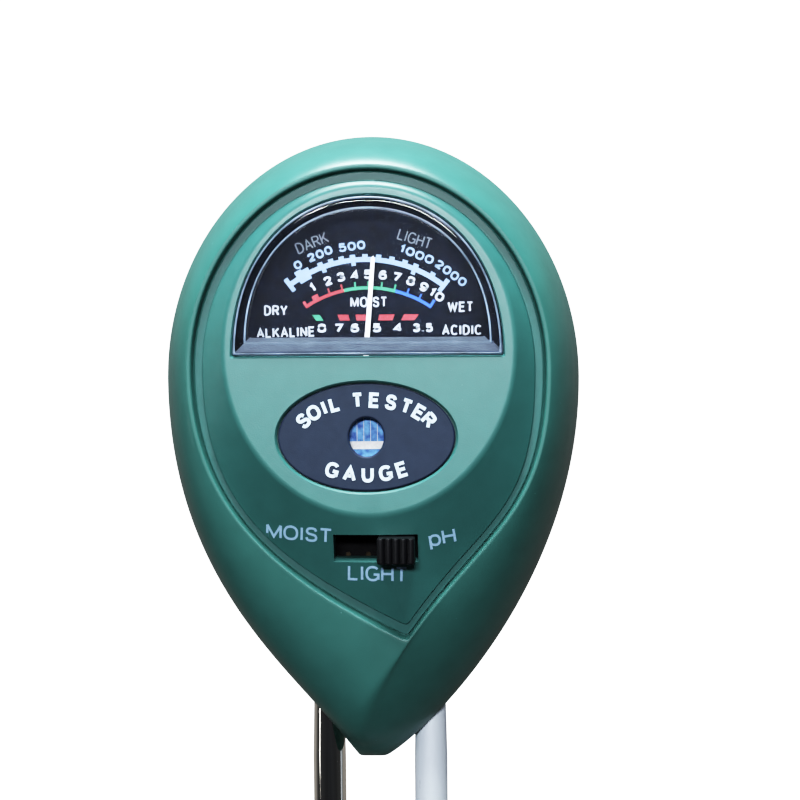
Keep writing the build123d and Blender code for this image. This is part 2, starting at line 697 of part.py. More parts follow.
# Each route runs from its first piece to its last, through points chosen along the way
WIRE_ROUTES = {
    "wire_probe_left": [
        (PROBE_LEFT_X, -4.6, LUG_TOP_Z), (PROBE_LEFT_X, -4.6, -34.6), (-8.4, -3.0, -31.4), (-8.0, -2.6, -27.8),
        (-7.6, -3.6, -25.4), (-7.6, BOARD_BACK_Y, -25.4),
    ],
    "wire_probe_right": [
        (PROBE_RIGHT_X, -4.6, LUG_TOP_Z), (PROBE_RIGHT_X, -4.6, -34.4), (9.6, -3.0, -31.6), (10.2, -2.6, -28.0),
        (9.8, -3.6, -25.2), (9.8, BOARD_BACK_Y, -25.2),
    ],
    "wire_meter_plus": [
        (-6.2, BOARD_BACK_Y, -19.4), (-6.2, -3.0, -19.4), (-6.0, 1.2, -16.8), (-6.8, 5.8, -15.6),
        (-7.8, 9.8, -12.8), (-7.6, 10.2, -8.0), (-7.6, FRAME_REAR_Y, -8.0),
    ],
    "wire_meter_minus": [
        (8.2, BOARD_BACK_Y, -19.6), (8.2, -2.8, -19.6), (7.4, 1.4, -16.6), (7.2, 6.0, -15.4),
        (6.4, 9.9, -12.9), (5.8, 10.4, -8.4), (5.8, FRAME_REAR_Y, -8.4),
    ],
    "wire_cell_plus": [
        (-2.4, HOLDER_REAR_Y, -9.6), (-2.4, -9.6, -9.6), (-2.9, -8.9, -13.0), (-3.4, -9.4, -16.4),
        (-3.3, -9.2, -19.0), (-3.3, BOARD_FRONT_Y, -19.0),
    ],
    "wire_cell_minus": [
        (2.0, HOLDER_REAR_Y, -9.4), (2.0, -9.7, -9.4), (2.5, -8.8, -12.8), (3.0, -9.3, -16.2),
        (3.1, -9.2, -19.0), (3.1, BOARD_FRONT_Y, -19.0),
    ],
}


def bend_radii(points):
    """For each corner, nearly as large an arc as its two runs allow."""
    radii = []
    for before, corner, after in zip(points, points[1:], points[2:]):
        first, second = Vector(*corner) - Vector(*before), Vector(*after) - Vector(*corner)
        half_turn = math.radians(first.get_angle(second)) / 2
        radii.append(0.45 * min(first.length, second.length) / math.tan(half_turn))
    return radii


def wire(name, points):
    radii = bend_radii(points)
    print(name, "bend radii", [round(r, 1) for r in radii])
    path = FilletPolyline(*points, radius=radii)
    start = Plane(origin=path @ 0, z_dir=path % 0)
    return sweep(start * Circle(WIRE_RADIUS), path=path)


# ---- Writing out ----


def write(name, shape):
    """Moves a piece into the row's frame and writes it."""
    solids = [Pos(0, 0, -HEAD_TIP_Z) * solid for solid in shape.solids()]
    export_step(Compound(children=solids) if len(solids) > 1 else solids[0], f"parts/{name}.step")


def main():
    os.makedirs("parts", exist_ok=True)
    makers = [
        front_shell, rear_shell, face_panel, dial_window, dial_plate, badge_plate, photocell, cell_holder,
        switch_can, switch_base, switch_terminals, switch_knob, switch_wiper, circuit_board, resistors,
        probe_lugs, probe_clamp, movement_frame, movement_magnet, movement_yoke, bearing_bridge,
        front_bearing, rear_bearing, coil, pivot_staff, needle, needle_hub, balance_weights,
        case_screws, board_screws, dial_screws, movement_screws, bridge_screws, clamp_screw,
    ]
    for maker in makers:
        write(maker.__name__, maker())
    write("probe_left", probe(PROBE_LEFT_X))
    write("probe_right", probe(PROBE_RIGHT_X))
    write("hairspring_front", hairspring(-6.3))
    write("hairspring_rear", hairspring(5.25))
    for name, points in WIRE_ROUTES.items():
        write(name, wire(name, points))


main()
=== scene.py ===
import math
from collections import namedtuple

import bmesh
import bpy
import numpy as np
from mathutils import Matrix, Vector
from mathutils.bvhtree import BVHTree

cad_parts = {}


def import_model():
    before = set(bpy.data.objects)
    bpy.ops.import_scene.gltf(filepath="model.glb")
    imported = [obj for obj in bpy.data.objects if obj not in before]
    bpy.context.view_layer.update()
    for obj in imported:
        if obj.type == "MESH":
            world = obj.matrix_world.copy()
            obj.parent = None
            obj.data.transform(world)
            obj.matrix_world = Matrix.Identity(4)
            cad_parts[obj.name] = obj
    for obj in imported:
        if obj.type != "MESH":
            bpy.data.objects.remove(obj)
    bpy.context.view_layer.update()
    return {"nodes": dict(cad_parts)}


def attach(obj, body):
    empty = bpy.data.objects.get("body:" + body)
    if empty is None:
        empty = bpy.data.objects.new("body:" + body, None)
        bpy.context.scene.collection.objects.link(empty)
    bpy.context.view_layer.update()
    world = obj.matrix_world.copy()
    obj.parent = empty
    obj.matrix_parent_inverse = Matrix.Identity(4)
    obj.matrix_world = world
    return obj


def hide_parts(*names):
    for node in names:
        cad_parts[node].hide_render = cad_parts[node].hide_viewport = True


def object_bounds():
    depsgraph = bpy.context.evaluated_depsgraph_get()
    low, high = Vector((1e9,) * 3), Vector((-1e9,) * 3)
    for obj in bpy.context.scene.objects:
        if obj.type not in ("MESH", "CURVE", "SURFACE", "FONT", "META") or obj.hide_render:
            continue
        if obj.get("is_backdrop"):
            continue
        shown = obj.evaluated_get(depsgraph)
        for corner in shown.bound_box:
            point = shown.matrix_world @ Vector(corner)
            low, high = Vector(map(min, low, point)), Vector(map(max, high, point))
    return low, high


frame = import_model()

# Three-way soil meter. Sizes are in millimetres about the middle of the head's widest line, as in the CAD
# source: X right, Y back, Z up. HEAD_RISE is that line's height above the origin, the head's lower tip.
MM = 0.001
HEAD_RISE = 57.5

# ---- Sizes shared with the CAD ----
HEAD_TIP_Z = -57.5
PARTING_Y = -3.0
LIP_Y = -14.5
REAR_Y = 17.0
WALL = 1.8
PARTING_EDGE = 0.22
MOAT_Y = -13.4
MOAT_WIDTH = 1.4
SKIRT_GAP = 0.2  # between the lip and the panel's edge, which covers the moat's floor
SKIRT_THICKNESS = 0.4
MOAT_BACK_Y = -11.6
LIP_WIDTH = 0.95
LIP_CHAMFER = 0.3
GAP = 0.15
PANEL_EDGE_Y = -14.1
PANEL_SKIN = 1.5
PLATEAU_Y = -16.0
FACE_TILT = 3.5
FACE_TILT_Z = 5.0
WINDOW_HALF_WIDTH = 19.8
WINDOW_SILL_Z = 4.2
WINDOW_TOP_Z = 27.5
WINDOW_FRONT_Y = -16.3
WINDOW_BACK_Y = -9.9
WINDOW_WALL = 1.6
DIAL_Y = -8.2
BADGE_X = -0.2
BADGE_Z = -7.85
BADGE_HALF_WIDTH = 13.0
BADGE_HALF_HEIGHT = 7.9
BADGE_FRONT_Y = -15.75
BADGE_THICKNESS = 0.85
SENSOR_HALF_WIDTH = 2.55
SENSOR_HALF_HEIGHT = 2.85
CELL_FRONT_Y = -14.4
CELL_SIDE = 6.6
SLOT_LEFT = -5.16
SLOT_RIGHT = 7.14
SLOT_TOP = -22.25
SLOT_BOTTOM = -26.35
KNOB_LEFT = 1.36
KNOB_RIGHT = 6.86
KNOB_FRONT_Y = -20.1
KNOB_TOP = -22.41
KNOB_BOTTOM = -26.19
PROBE_X = (-7.3, 8.2)
PROBE_RADIUS = 2.5
SOCKET_TOP_Z = -41.2
CRADLE_TOP_Z = -38.4
CASE_SCREWS = [(-24.5, 8.0), (24.5, 8.0), (0.5, -46.5)]
SCREW_POST_FRONT_Y = (-9.9, -9.9, -9.4)
MOVEMENT_POSTS = [(-17.25, -3.0), (17.25, -3.0)]
BOARD_POSTS = [(-12.5, -19.0), (14.5, -19.0)]
QUARTER_ARC_HANDLE = 0.5523
INK = 0.03

# How finely the outlines are drawn
CROWN_STEPS = 44
SIDE_STEPS = 88
FLAT_STEPS = 14
ARCH_STEPS = 72
RIM_ROWS = 31


# A drop outline: half an ellipse above the widest line, and two curves down to a flat tip
Drop = namedtuple(
    "Drop", "centre_x wide_z half_width crown_z tip_x tip_z tip_flat "
    "left_drop left_angle left_reach right_drop right_angle right_reach"
)
OUTLINE = Drop(0.0, 0.0, 31.0, 36.2, -0.5, HEAD_TIP_Z, 3.95, 33.0, 33.0, 14.0, 32.0, 63.0, 6.0)
LIP_INNER = Drop(0.0, 2.0, 25.9, 31.1, 5.3, -37.7, 0.4, 20.0, 64.0, 22.0, 22.0, 35.0, 20.0)
PLATEAU = Drop(
    0.2, 5.0, 21.5, 29.0, 0.2, -19.3, 0.4,
    QUARTER_ARC_HANDLE * 24.0, 90.0, QUARTER_ARC_HANDLE * 20.9,
    QUARTER_ARC_HANDLE * 24.0, 90.0, QUARTER_ARC_HANDLE * 20.9,
)
REAR_CROWN = Drop(0.0, 0.0, 16.0, 21.0, 0.0, -27.0, 2.0, 14.0, 52.0, 9.0, 14.0, 52.0, 9.0)
CREASE_LOW_HANDLE = (-3.2, -52.5)
CREASE_HIGH_HANDLE = (-1.6, -48.0)
CREASE_ROUNDING = 2.2
CREASE_EDGE = 0.35
BEVEL = 0.35  # how far the rim's section is flattened from an ellipse towards a straight bevel
RIDGE_HEIGHT = 0.30
RIDGE_WIDTH = 1.6


def between(a, b, w):
    return Drop(*[p + (q - p) * w for p, q in zip(a, b)])


def inset(drop, d):
    lift = d / math.sin(math.radians((drop.left_angle + drop.right_angle) / 2))
    return drop._replace(
        half_width=drop.half_width - d, crown_z=drop.crown_z - d, tip_z=drop.tip_z + lift
    )


def cubic(a, b, c, d, t):
    a, b, c, d = (np.array(p, float) for p in (a, b, c, d))
    t = t[:, None]
    return (1 - t) ** 3 * a + 3 * (1 - t) ** 2 * t * b + 3 * (1 - t) * t**2 * c + t**3 * d


def soften(loop, sigma):
    """Rounds the corners of a closed loop, over a length of about sigma."""
    step = np.linalg.norm(np.roll(loop, -1, 0) - loop, axis=1)
    place = np.concatenate([[0], np.cumsum(step)[:-1]])
    apart = np.abs(place[:, None] - place[None, :])
    apart = np.minimum(apart, step.sum() - apart)
    weight = np.exp(-0.5 * (apart / sigma) ** 2) * ((step + np.roll(step, 1)) / 2)[None, :]
    return weight @ loop / weight.sum(1, keepdims=True)


def drop_loop(d, y, sigma=0.35):
    """The drop's outline at depth y, as points that match those of every other drop."""
    k = QUARTER_ARC_HANDLE
    shoulder = d.wide_z + k * (d.crown_z - d.wide_z)
    left = (d.centre_x - d.half_width, d.wide_z)
    right = (d.centre_x + d.half_width, d.wide_z)
    crown = (d.centre_x, d.crown_z)
    tip_left = (d.tip_x - d.tip_flat / 2, d.tip_z)
    tip_right = (d.tip_x + d.tip_flat / 2, d.tip_z)
    la, ra = math.radians(d.left_angle), math.radians(d.right_angle)
    left_handle = (tip_left[0] - d.left_reach * math.sin(la), d.tip_z + d.left_reach * math.cos(la))
    right_handle = (tip_right[0] + d.right_reach * math.sin(ra), d.tip_z + d.right_reach * math.cos(ra))
    even = np.linspace(0, 1, CROWN_STEPS, endpoint=False)
    towards_tip = 1 - (1 - np.linspace(0, 1, SIDE_STEPS, endpoint=False)) ** 1.7
    flat = np.linspace(0, 1, FLAT_STEPS, endpoint=False)[:, None]
    points = np.vstack([
        cubic(left, (left[0], shoulder), (d.centre_x - k * d.half_width, d.crown_z), crown, even),
        cubic(crown, (d.centre_x + k * d.half_width, d.crown_z), (right[0], shoulder), right, even),
        cubic(right, (right[0], d.wide_z - d.right_drop), right_handle, tip_right, towards_tip),
        np.array(tip_right) * (1 - flat) + np.array(tip_left) * flat,
        cubic(left, (left[0], d.wide_z - d.left_drop), left_handle, tip_left, towards_tip)[:0:-1],
        np.array([tip_left]),
    ])
    # The last curve is walked from the tip up, with the tip's corner first
    n = len(points)
    side = points[n - SIDE_STEPS:n - 1]
    points = np.vstack([points[:n - SIDE_STEPS], np.array([tip_left]), side])
    loop = np.column_stack([points[:, 0], np.full(len(points), y), points[:, 1]])
    return soften(loop, sigma) if sigma else loop


def tilted(points):
    """Points turned with the face, which looks slightly upwards."""
    a = math.radians(-FACE_TILT)
    out = points.copy()
    y, z = points[:, 1] - PLATEAU_Y, points[:, 2] - FACE_TILT_Z
    out[:, 1] = PLATEAU_Y + y * math.cos(a) - z * math.sin(a)
    out[:, 2] = FACE_TILT_Z + y * math.sin(a) + z * math.cos(a)
    return out


# ---- Mesh making ----


def rounded_rows(loops, radii, closed, steps=5):
    """The loops, with each one that has a radius rounded over by it towards its neighbours."""
    rows = []
    for i, (loop, radius) in enumerate(zip(loops, radii)):
        if not radius:
            rows.append(loop)
            continue
        before = loops[i - 1] if i or closed else loop
        after = loops[(i + 1) % len(loops)] if i + 1 < len(loops) or closed else loop

        def towards(other):
            away = other - loop
            length = np.linalg.norm(away, axis=1, keepdims=True) + 1e-9
            return loop + away * np.minimum(radius / length, 0.46)

        a, c = towards(before), towards(after)
        for t in np.linspace(0, 1, steps + 1):
            rows.append((1 - t) ** 2 * a + 2 * t * (1 - t) * loop + t**2 * c)
    return rows


def to_frame(points):
    out = np.asarray(points, float) * MM
    out[:, 2] += HEAD_RISE * MM
    return out


def new_object(name, mesh):
    obj = bpy.data.objects.new(name, mesh)
    bpy.context.scene.collection.objects.link(obj)
    return obj


def skin(name, rows, closed=False, caps=(True, True)):
    """A closed mesh over rows of matching points. An open stack of rows gets a fan at each end."""
    n = len(rows[0])
    points = list(np.vstack(rows))
    faces = []
    last = len(rows) if closed else len(rows) - 1
    for r in range(last):
        a, b = r * n, ((r + 1) % len(rows)) * n
        for j in range(n):
            k = (j + 1) % n
            faces.append((a + j, a + k, b + k, b + j))
    if not closed:
        for wanted, row in zip(caps, (0, len(rows) - 1)):
            if wanted:
                centre = len(points)
                points.append(rows[row].mean(0))
                faces += [(row * n + j, row * n + (j + 1) % n, centre) for j in range(n)]
    mesh = bpy.data.meshes.new(name)
    mesh.from_pydata([tuple(p) for p in to_frame(points)], [], faces)
    return new_object(name, tidy_mesh(mesh))


def tidy_mesh(mesh):
    """Welds doubled points, drops flat slivers and turns every face outwards."""
    bm = bmesh.new()
    bm.from_mesh(mesh)
    bmesh.ops.remove_doubles(bm, verts=bm.verts, dist=2e-7)
    bmesh.ops.dissolve_degenerate(bm, edges=bm.edges, dist=1e-7)
    bmesh.ops.recalc_face_normals(bm, faces=bm.faces)
    bm.to_mesh(mesh)
    bm.free()
    mesh.update()
    return mesh


def smooth(obj, angle=32.0):
    """Smooth shading, with edges sharper than the angle kept crisp."""
    obj.data.polygons.foreach_set("use_smooth", [True] * len(obj.data.polygons))
    obj.data.set_sharp_from_angle(angle=math.radians(angle))
    weighted = obj.modifiers.new("even_shading", "WEIGHTED_NORMAL")
    weighted.keep_sharp = True
    return obj


def combine(target, tool, operation="DIFFERENCE"):
    """Cuts the tool from the target, or joins it on, and removes the tool."""
    modifier = target.modifiers.new("combine", "BOOLEAN")
    modifier.operation = operation
    modifier.solver = "EXACT"
    modifier.object = tool
    graph = bpy.context.evaluated_depsgraph_get()
    made = bpy.data.meshes.new_from_object(target.evaluated_get(graph))
    target.modifiers.clear()
    made.materials.clear()
    target.data = tidy_mesh(made)
    bpy.data.objects.remove(tool)
    return target


def ring(x, z, half_width, half_height, y, count=96, flare=0.0):
    turn = np.linspace(0, 2 * math.pi, count, endpoint=False)
    across = x + (half_width + flare) * np.cos(turn)
    up = z + (half_height + flare) * np.sin(turn)
    return np.column_stack([across, np.full(count, float(y)), up])


def bar(x, z, radius, y0, y1, count=48):
    """A round bar along Y."""
    return skin("tool", [ring(x, z, radius, radius, y, count) for y in (y0, y1)])


def upright(x, y, radius, z0, z1):
    """A round bar along Z."""
    return skin("tool", [ring(x, y, radius, radius, z, 64)[:, (0, 2, 1)] for z in (z0, z1)])


def rectangle(x0, x1, z0, z1, per_side):
    """Points along a rectangle's sides."""
    corners = [(x0, z0), (x1, z0), (x1, z1), (x0, z1)]
    return np.array([
        (a[0] + (b[0] - a[0]) * t, a[1] + (b[1] - a[1]) * t)
        for a, b in zip(corners, corners[1:] + corners[:1])
        for t in np.linspace(0, 1, per_side, endpoint=False)
    ])


def block(x0, x1, y0, y1, z0, z1, radius=0.0):
    """A box, with its four edges along Y rounded and its ends rounded over."""
    flat = rectangle(x0, x1, z0, z1, 10)
    if radius:
        # Push each point that lies near a corner onto the corner's arc
        for cx, cz, sx, sz in [(x0, z0, 1, 1), (x1, z0, -1, 1), (x1, z1, -1, -1), (x0, z1, 1, -1)]:
            ox, oz = cx + sx * radius, cz + sz * radius
            near = ((flat[:, 0] - ox) * sx < 0) & ((flat[:, 1] - oz) * sz < 0)
            offset = flat[near] - (ox, oz)
            flat[near] = (ox, oz) + offset / np.linalg.norm(offset, axis=1, keepdims=True) * radius
    centre = flat.mean(0)

    def level(y, shrink):
        scale = 1 - shrink / (np.abs(flat - centre).max(0) + 1e-9)
        ring_points = centre + (flat - centre) * scale
        return np.column_stack([ring_points[:, 0], np.full(len(flat), float(y)), ring_points[:, 1]])

    if not radius:
        return skin("tool", [level(y0, 0), level(y1, 0)])
    loops = [level(y0, radius * 2), level(y0, 0), level(y1, 0), level(y1, radius * 2)]
    return skin("tool", rounded_rows(loops, (0, radius, radius, 0), False, 3))


def tilted_skin(name, loops, radii, closed, steps):
    return skin(name, [tilted(r) for r in rounded_rows(loops, radii, closed, steps)], closed=closed)


def join(name, parts):
    """One object from several, each of which stays a closed body of its own."""
    bm = bmesh.new()
    for part in parts:
        bm.from_mesh(part.data)
        bpy.data.objects.remove(part)
    mesh = bpy.data.meshes.new(name)
    bm.to_mesh(mesh)
    bm.free()
    return new_object(name, mesh)


# ---- Finishes ----


def link(source, output, target, entry):
    source.id_data.links.new(source.outputs[output], target.inputs[entry])


def set_inputs(node, values):
    for name, value in values.items():
        node.inputs[name].default_value = value


def add(tree, kind, values=()):
    """A new shader node, with those of its inputs that aren't left as they come."""
    node = tree.nodes.new("ShaderNode" + kind)
    set_inputs(node, dict(values))
    return node


def colour_mix(tree, blend="MIX"):
    node = add(tree, "Mix")
    node.data_type = "RGBA"
    node.blend_type = blend
    return node


def finish(name, colour, rough, metal=0.0, specular=0.5, mottle=(900, 0.06), grain=(9000, 0.08),
           stretch=(1, 1, 1), rough_vary=0.05, wear=None, transmission=0.0):
    """A moulded, painted or metal surface: its colour drifts slightly, and a fine grain breaks its gloss."""
    material = bpy.data.materials.new(name)
    material.use_nodes = True
    tree = material.node_tree
    shader = tree.nodes["Principled BSDF"]
    set_inputs(shader, {
        "Metallic": metal, "Specular IOR Level": specular, "Transmission Weight": transmission,
    })
    place = add(tree, "TexCoord")
    mapping = add(tree, "Mapping", {"Scale": stretch})
    link(place, "Object", mapping, "Vector")

    def noise(scale, detail=3.0):
        node = add(tree, "TexNoise", {"Scale": scale, "Detail": detail})
        link(mapping, "Vector", node, "Vector")
        return node

    drift = add(tree, "ValToRGB")
    scale, amount = mottle
    for element, position, share in zip(drift.color_ramp.elements, (0.3, 0.7), (1 - amount, 1 + amount)):
        element.position = position
        element.color = (*[min(1, c * share) for c in colour], 1)
    link(noise(scale), "Fac", drift, "Fac")
    coloured = (drift, "Color")
    if wear:
        # Sparse specks or rubbed spots of another colour: (scale, threshold, colour)
        spot = add(tree, "MapRange", {"From Min": wear[1], "From Max": wear[1] + 0.06})
        link(noise(wear[0], 5.0), "Fac", spot, "Value")
        mix = colour_mix(tree)
        link(spot, "Result", mix, "Factor")
        link(*coloured, mix, "A")
        mix.inputs["B"].default_value = (*wear[2], 1)
        coloured = (mix, "Result")
    link(*coloured, shader, "Base Color")
    fine = noise(grain[0], 2.0)
    limits = {"To Min": max(0.0, rough - rough_vary), "To Max": min(1.0, rough + rough_vary)}
    spread = add(tree, "MapRange", limits)
    link(noise(scale * 2.3), "Fac", spread, "Value")
    link(spread, "Result", shader, "Roughness")
    bump = add(tree, "Bump", {"Strength": grain[1], "Distance": 0.0001})
    link(fine, "Fac", bump, "Height")
    link(bump, "Normal", shader, "Normal")
    return material


def ink(name, colour, amount=0.06, scale=3000, rough=0.5):
    return finish(name, colour, rough, mottle=(scale, amount))


SHELL_GREEN = (0.050, 0.158, 0.142)
GREEN_DUST = (0.25, 0.5, 0.47)
MATERIALS = {
    "green_shell": finish(
        "moulded_green", SHELL_GREEN, 0.37, mottle=(260, 0.05), grain=(5200, 0.10),
        wear=(1500, 0.755, GREEN_DUST),
    ),
    "green_rear": finish("moulded_green_rear", SHELL_GREEN, 0.44, mottle=(260, 0.06), grain=(5200, 0.12)),
    "green_panel": finish(
        "moulded_green_panel", (0.046, 0.148, 0.138), 0.35, mottle=(300, 0.05), grain=(6500, 0.14),
        wear=(1700, 0.77, GREEN_DUST),
    ),
    "clear_cap": finish(
        "clear_styrene", (0.95, 0.97, 1.0), 0.03, specular=0.3, transmission=1.0, rough_vary=0.02,
        mottle=(300, 0.01), grain=(2500, 0.02),
    ),
    "dial_print": finish(
        "dial_black", (0.003, 0.0055, 0.013), 0.45, specular=0.12, mottle=(700, 0.35), grain=(3000, 0.08),
        wear=(2600, 0.76, (0.06, 0.08, 0.11)),
    ),
    # The plated rod's colour streaks along its length: partly streaks in the plating, partly painted
    # reflection stripes that run round the rod
    "chrome_rod": finish(
        "plated_rod_painted_streaks", (0.78, 0.75, 0.70), 0.07, metal=1.0, mottle=(900, 0.22), grain=(3000, 0.05),
        stretch=(1, 1, 0.02), rough_vary=0.06,
    ),
    "aluminium_rod": finish(
        "matt_aluminium", (0.80, 0.88, 0.97), 0.55, metal=0.10, mottle=(500, 0.06), grain=(3500, 0.18),
        stretch=(1, 1, 0.25), wear=(700, 0.73, (0.36, 0.40, 0.46)),
    ),
}
for slot, colour, rough, looks in (
    ("badge_slate", (0.018, 0.030, 0.058), 0.5,
     {"specular": 0.25, "mottle": (500, 0.08), "grain": (7000, 0.16)}),
    ("silicon_blue", (0.17, 0.35, 1.0), 0.25, {"mottle": (1100, 0.55), "grain": (2500, 0.05)}),
    ("black_plastic", (0.004, 0.0045, 0.006), 0.45,
     {"specular": 0.3, "mottle": (900, 0.2), "grain": (6500, 0.18)}),
    ("tin_plate", (0.62, 0.62, 0.60), 0.35, {"metal": 1.0, "mottle": (700, 0.08), "grain": (4000, 0.1)}),
    ("phenolic", (0.005, 0.005, 0.006), 0.7, {"specular": 0.1, "mottle": (1200, 0.3), "grain": (5000, 0.15)}),
    # Painted shade: the contacts' brass is darkened to near black, the shade of the slot they sit deep in
    ("contact_brass", (0.035, 0.028, 0.018), 0.5,
     {"metal": 1.0, "mottle": (1500, 0.3), "grain": (4000, 0.1)}),
    ("board_green", (0.03, 0.13, 0.05), 0.35, {"mottle": (500, 0.15), "grain": (6000, 0.1)}),
    ("resistor_body", (0.50, 0.36, 0.20), 0.45, {"mottle": (1200, 0.15)}),
    ("screw_steel", (0.56, 0.57, 0.60), 0.3, {"metal": 1.0, "mottle": (1500, 0.1), "grain": (3000, 0.2)}),
    ("frame_white", (0.72, 0.72, 0.68), 0.5, {}),
    ("magnet_grey", (0.10, 0.10, 0.11), 0.6, {"mottle": (1200, 0.25), "grain": (3000, 0.3)}),
    ("yoke_steel", (0.48, 0.47, 0.44), 0.35, {"metal": 1.0, "grain": (3000, 0.2)}),
    ("bridge_brass", (0.72, 0.54, 0.24), 0.32, {"metal": 1.0, "grain": (3500, 0.15)}),
    ("copper_coil", (0.68, 0.26, 0.10), 0.35,
     {"metal": 1.0, "mottle": (1500, 0.2), "stretch": (1, 1, 12), "grain": (2500, 0.4)}),
    ("staff_steel", (0.60, 0.61, 0.63), 0.2, {"metal": 1.0}),
    ("needle_white", (0.72, 0.69, 0.69), 0.4, {"mottle": (1500, 0.04)}),
    ("spring_bronze", (0.62, 0.40, 0.20), 0.3, {"metal": 1.0}),
    ("wire_white", (0.75, 0.74, 0.70), 0.45, {}),
    ("wire_blue", (0.03, 0.10, 0.45), 0.42, {}),
    ("wire_red", (0.50, 0.02, 0.02), 0.42, {}),
    ("wire_black", (0.015, 0.015, 0.017), 0.42, {}),
    ("wire_yellow", (0.70, 0.48, 0.04), 0.42, {}),
    ("wire_green", (0.03, 0.30, 0.08), 0.42, {}),
):
    MATERIALS[slot] = finish(slot, colour, rough, **looks)
INK_BLUE_WHITE = ink("ink_blue_white", (0.25, 0.38, 0.62), 0.05)
INK_WHITE = ink("ink_white", (0.52, 0.58, 0.68), 0.05)
INK_GREY = ink("ink_grey", (0.12, 0.145, 0.18), 0.08)
INK_RED = ink("ink_red", (0.34, 0.028, 0.036))
INK_GREEN = ink("ink_green", (0.035, 0.27, 0.14))
INK_BLUE = ink("ink_blue", (0.022, 0.105, 0.56))
LABEL_INK = ink("label_ink", (0.36, 0.54, 0.74), 0.06, 1800)
BADGE_INK = ink("badge_ink", (0.62, 0.76, 0.88), 0.05, 1800, 0.45)
SILVER_BAR = finish("cell_silver", (0.95, 0.95, 0.95), 0.4, mottle=(2500, 0.12), grain=(5000, 0.3))
# Painted highlight: the grey-blue of the window rim's lines stands in for the light that the thick rounded
# rim catches
PAINTED_RIM_HIGHLIGHT = finish(
    "painted_rim_highlight", (0.22, 0.29, 0.40), 0.3, transmission=0.3, mottle=(260, 0.5), grain=(2500, 0.3)
)
FROSTED = finish(
    "frosted_styrene", (0.095, 0.13, 0.185), 0.5, transmission=0.35, mottle=(420, 0.22), grain=(2500, 0.35),
    stretch=(1, 1, 2.5),
)


def placed(obj, body, slot, *stands_for, material=None):
    """Gives a finished piece its material, from its slot unless one is given, puts it on its body, and hides
    the CAD nodes that it stands for.
    """
    if not obj.data.materials:
        obj.data.materials.append(material or MATERIALS[slot])
    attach(obj, body)
    if stands_for:
        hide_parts(*stands_for)
    return obj


# ---- Case ----


def crease_point(w):
    start = (OUTLINE.tip_x, OUTLINE.tip_z)
    end = (LIP_INNER.tip_x, LIP_INNER.tip_z - LIP_WIDTH)
    weights = ((1 - w) ** 3, 3 * (1 - w) ** 2 * w, 3 * (1 - w) * w**2, w**3)
    points = (start, CREASE_LOW_HANDLE, CREASE_HIGH_HANDLE, end)
    return tuple(sum(k * p[i] for k, p in zip(weights, points)) for i in (0, 1))


def front_section(turn):
    w = 1 - math.cos(turn)
    x, z = crease_point(w)
    return between(OUTLINE, inset(LIP_INNER, -LIP_WIDTH), w)._replace(tip_x=x, tip_z=z)


def rim_place(turn):
    """Where a row of the rim lies: its outline, how far across the rim, how far forward."""
    flat = turn / (math.pi / 2)
    across = 1 - math.cos(turn)
    across += (flat - across) * BEVEL
    forward = math.sin(turn)
    forward += (flat - forward) * BEVEL
    return front_section(math.acos(1 - across)), across, forward


def front_shell():
    turns = np.radians(np.linspace(0, 90, RIM_ROWS))
    depth = PARTING_Y - LIP_Y
    rows = []
    for t in turns:
        # The crease is rounded most near the tip, and runs out sharp at the lip
        section, w, forward = rim_place(t)
        rounding = CREASE_EDGE + CREASE_ROUNDING * (1 - w) ** 1.2 * min(1, w / 0.12)
        row = drop_loop(section, PARTING_Y - depth * forward, rounding)
        apart = np.hypot(*(row[:, (0, 2)] - (section.tip_x, section.tip_z)).T)
        swell = RIDGE_HEIGHT * math.sin(2 * t) * np.exp(-(apart / RIDGE_WIDTH) ** 2)
        row[:, 1] -= swell
        rows.append(row)
    inner_depth = PARTING_Y - MOAT_BACK_Y
    floor_y = MOAT_Y + SKIRT_THICKNESS + 0.05
    opening = inset(LIP_INNER, MOAT_WIDTH - GAP)
    lip = [
        drop_loop(inset(LIP_INNER, -LIP_CHAMFER), LIP_Y), drop_loop(LIP_INNER, floor_y),
        drop_loop(opening, floor_y), drop_loop(opening, MOAT_BACK_Y),
    ]
    back = []
    for t in turns[::-3]:
        section, _, forward = rim_place(t)
        back.append(drop_loop(inset(section, WALL), PARTING_Y - inner_depth * forward))
    loops = rows + lip + back
    radii = [PARTING_EDGE] + [0] * (len(rows) - 2) + [0.12, 0.25, 0.3, 0.15, 0] + [0] * len(back)
    shell = skin("front_shell_moulding", rounded_rows(loops, radii, True), closed=True)
    parts = [shell]
    for (x, z), front_y in zip(CASE_SCREWS, SCREW_POST_FRONT_Y):
        parts.append(tube(x, z, 2.7, 1.1, front_y, PARTING_Y))
    return smooth(join("front_shell_moulding", parts), 38)


def tube(x, z, radius, bore, y0, y1):
    rows = [ring(x, z, r, r, y, 40) for r, y in ((radius, y0), (radius, y1), (bore, y1), (bore, y0))]
    return skin("tool", rows, closed=True)


def rear_section(turn):
    return between(OUTLINE, REAR_CROWN, 1 - math.cos(turn))


def rear_rows(wall, count):
    depth = REAR_Y - wall - PARTING_Y
    turns = np.radians(np.linspace(0, 90, count))
    return [drop_loop(inset(rear_section(t), wall), PARTING_Y + depth * math.sin(t)) for t in turns]


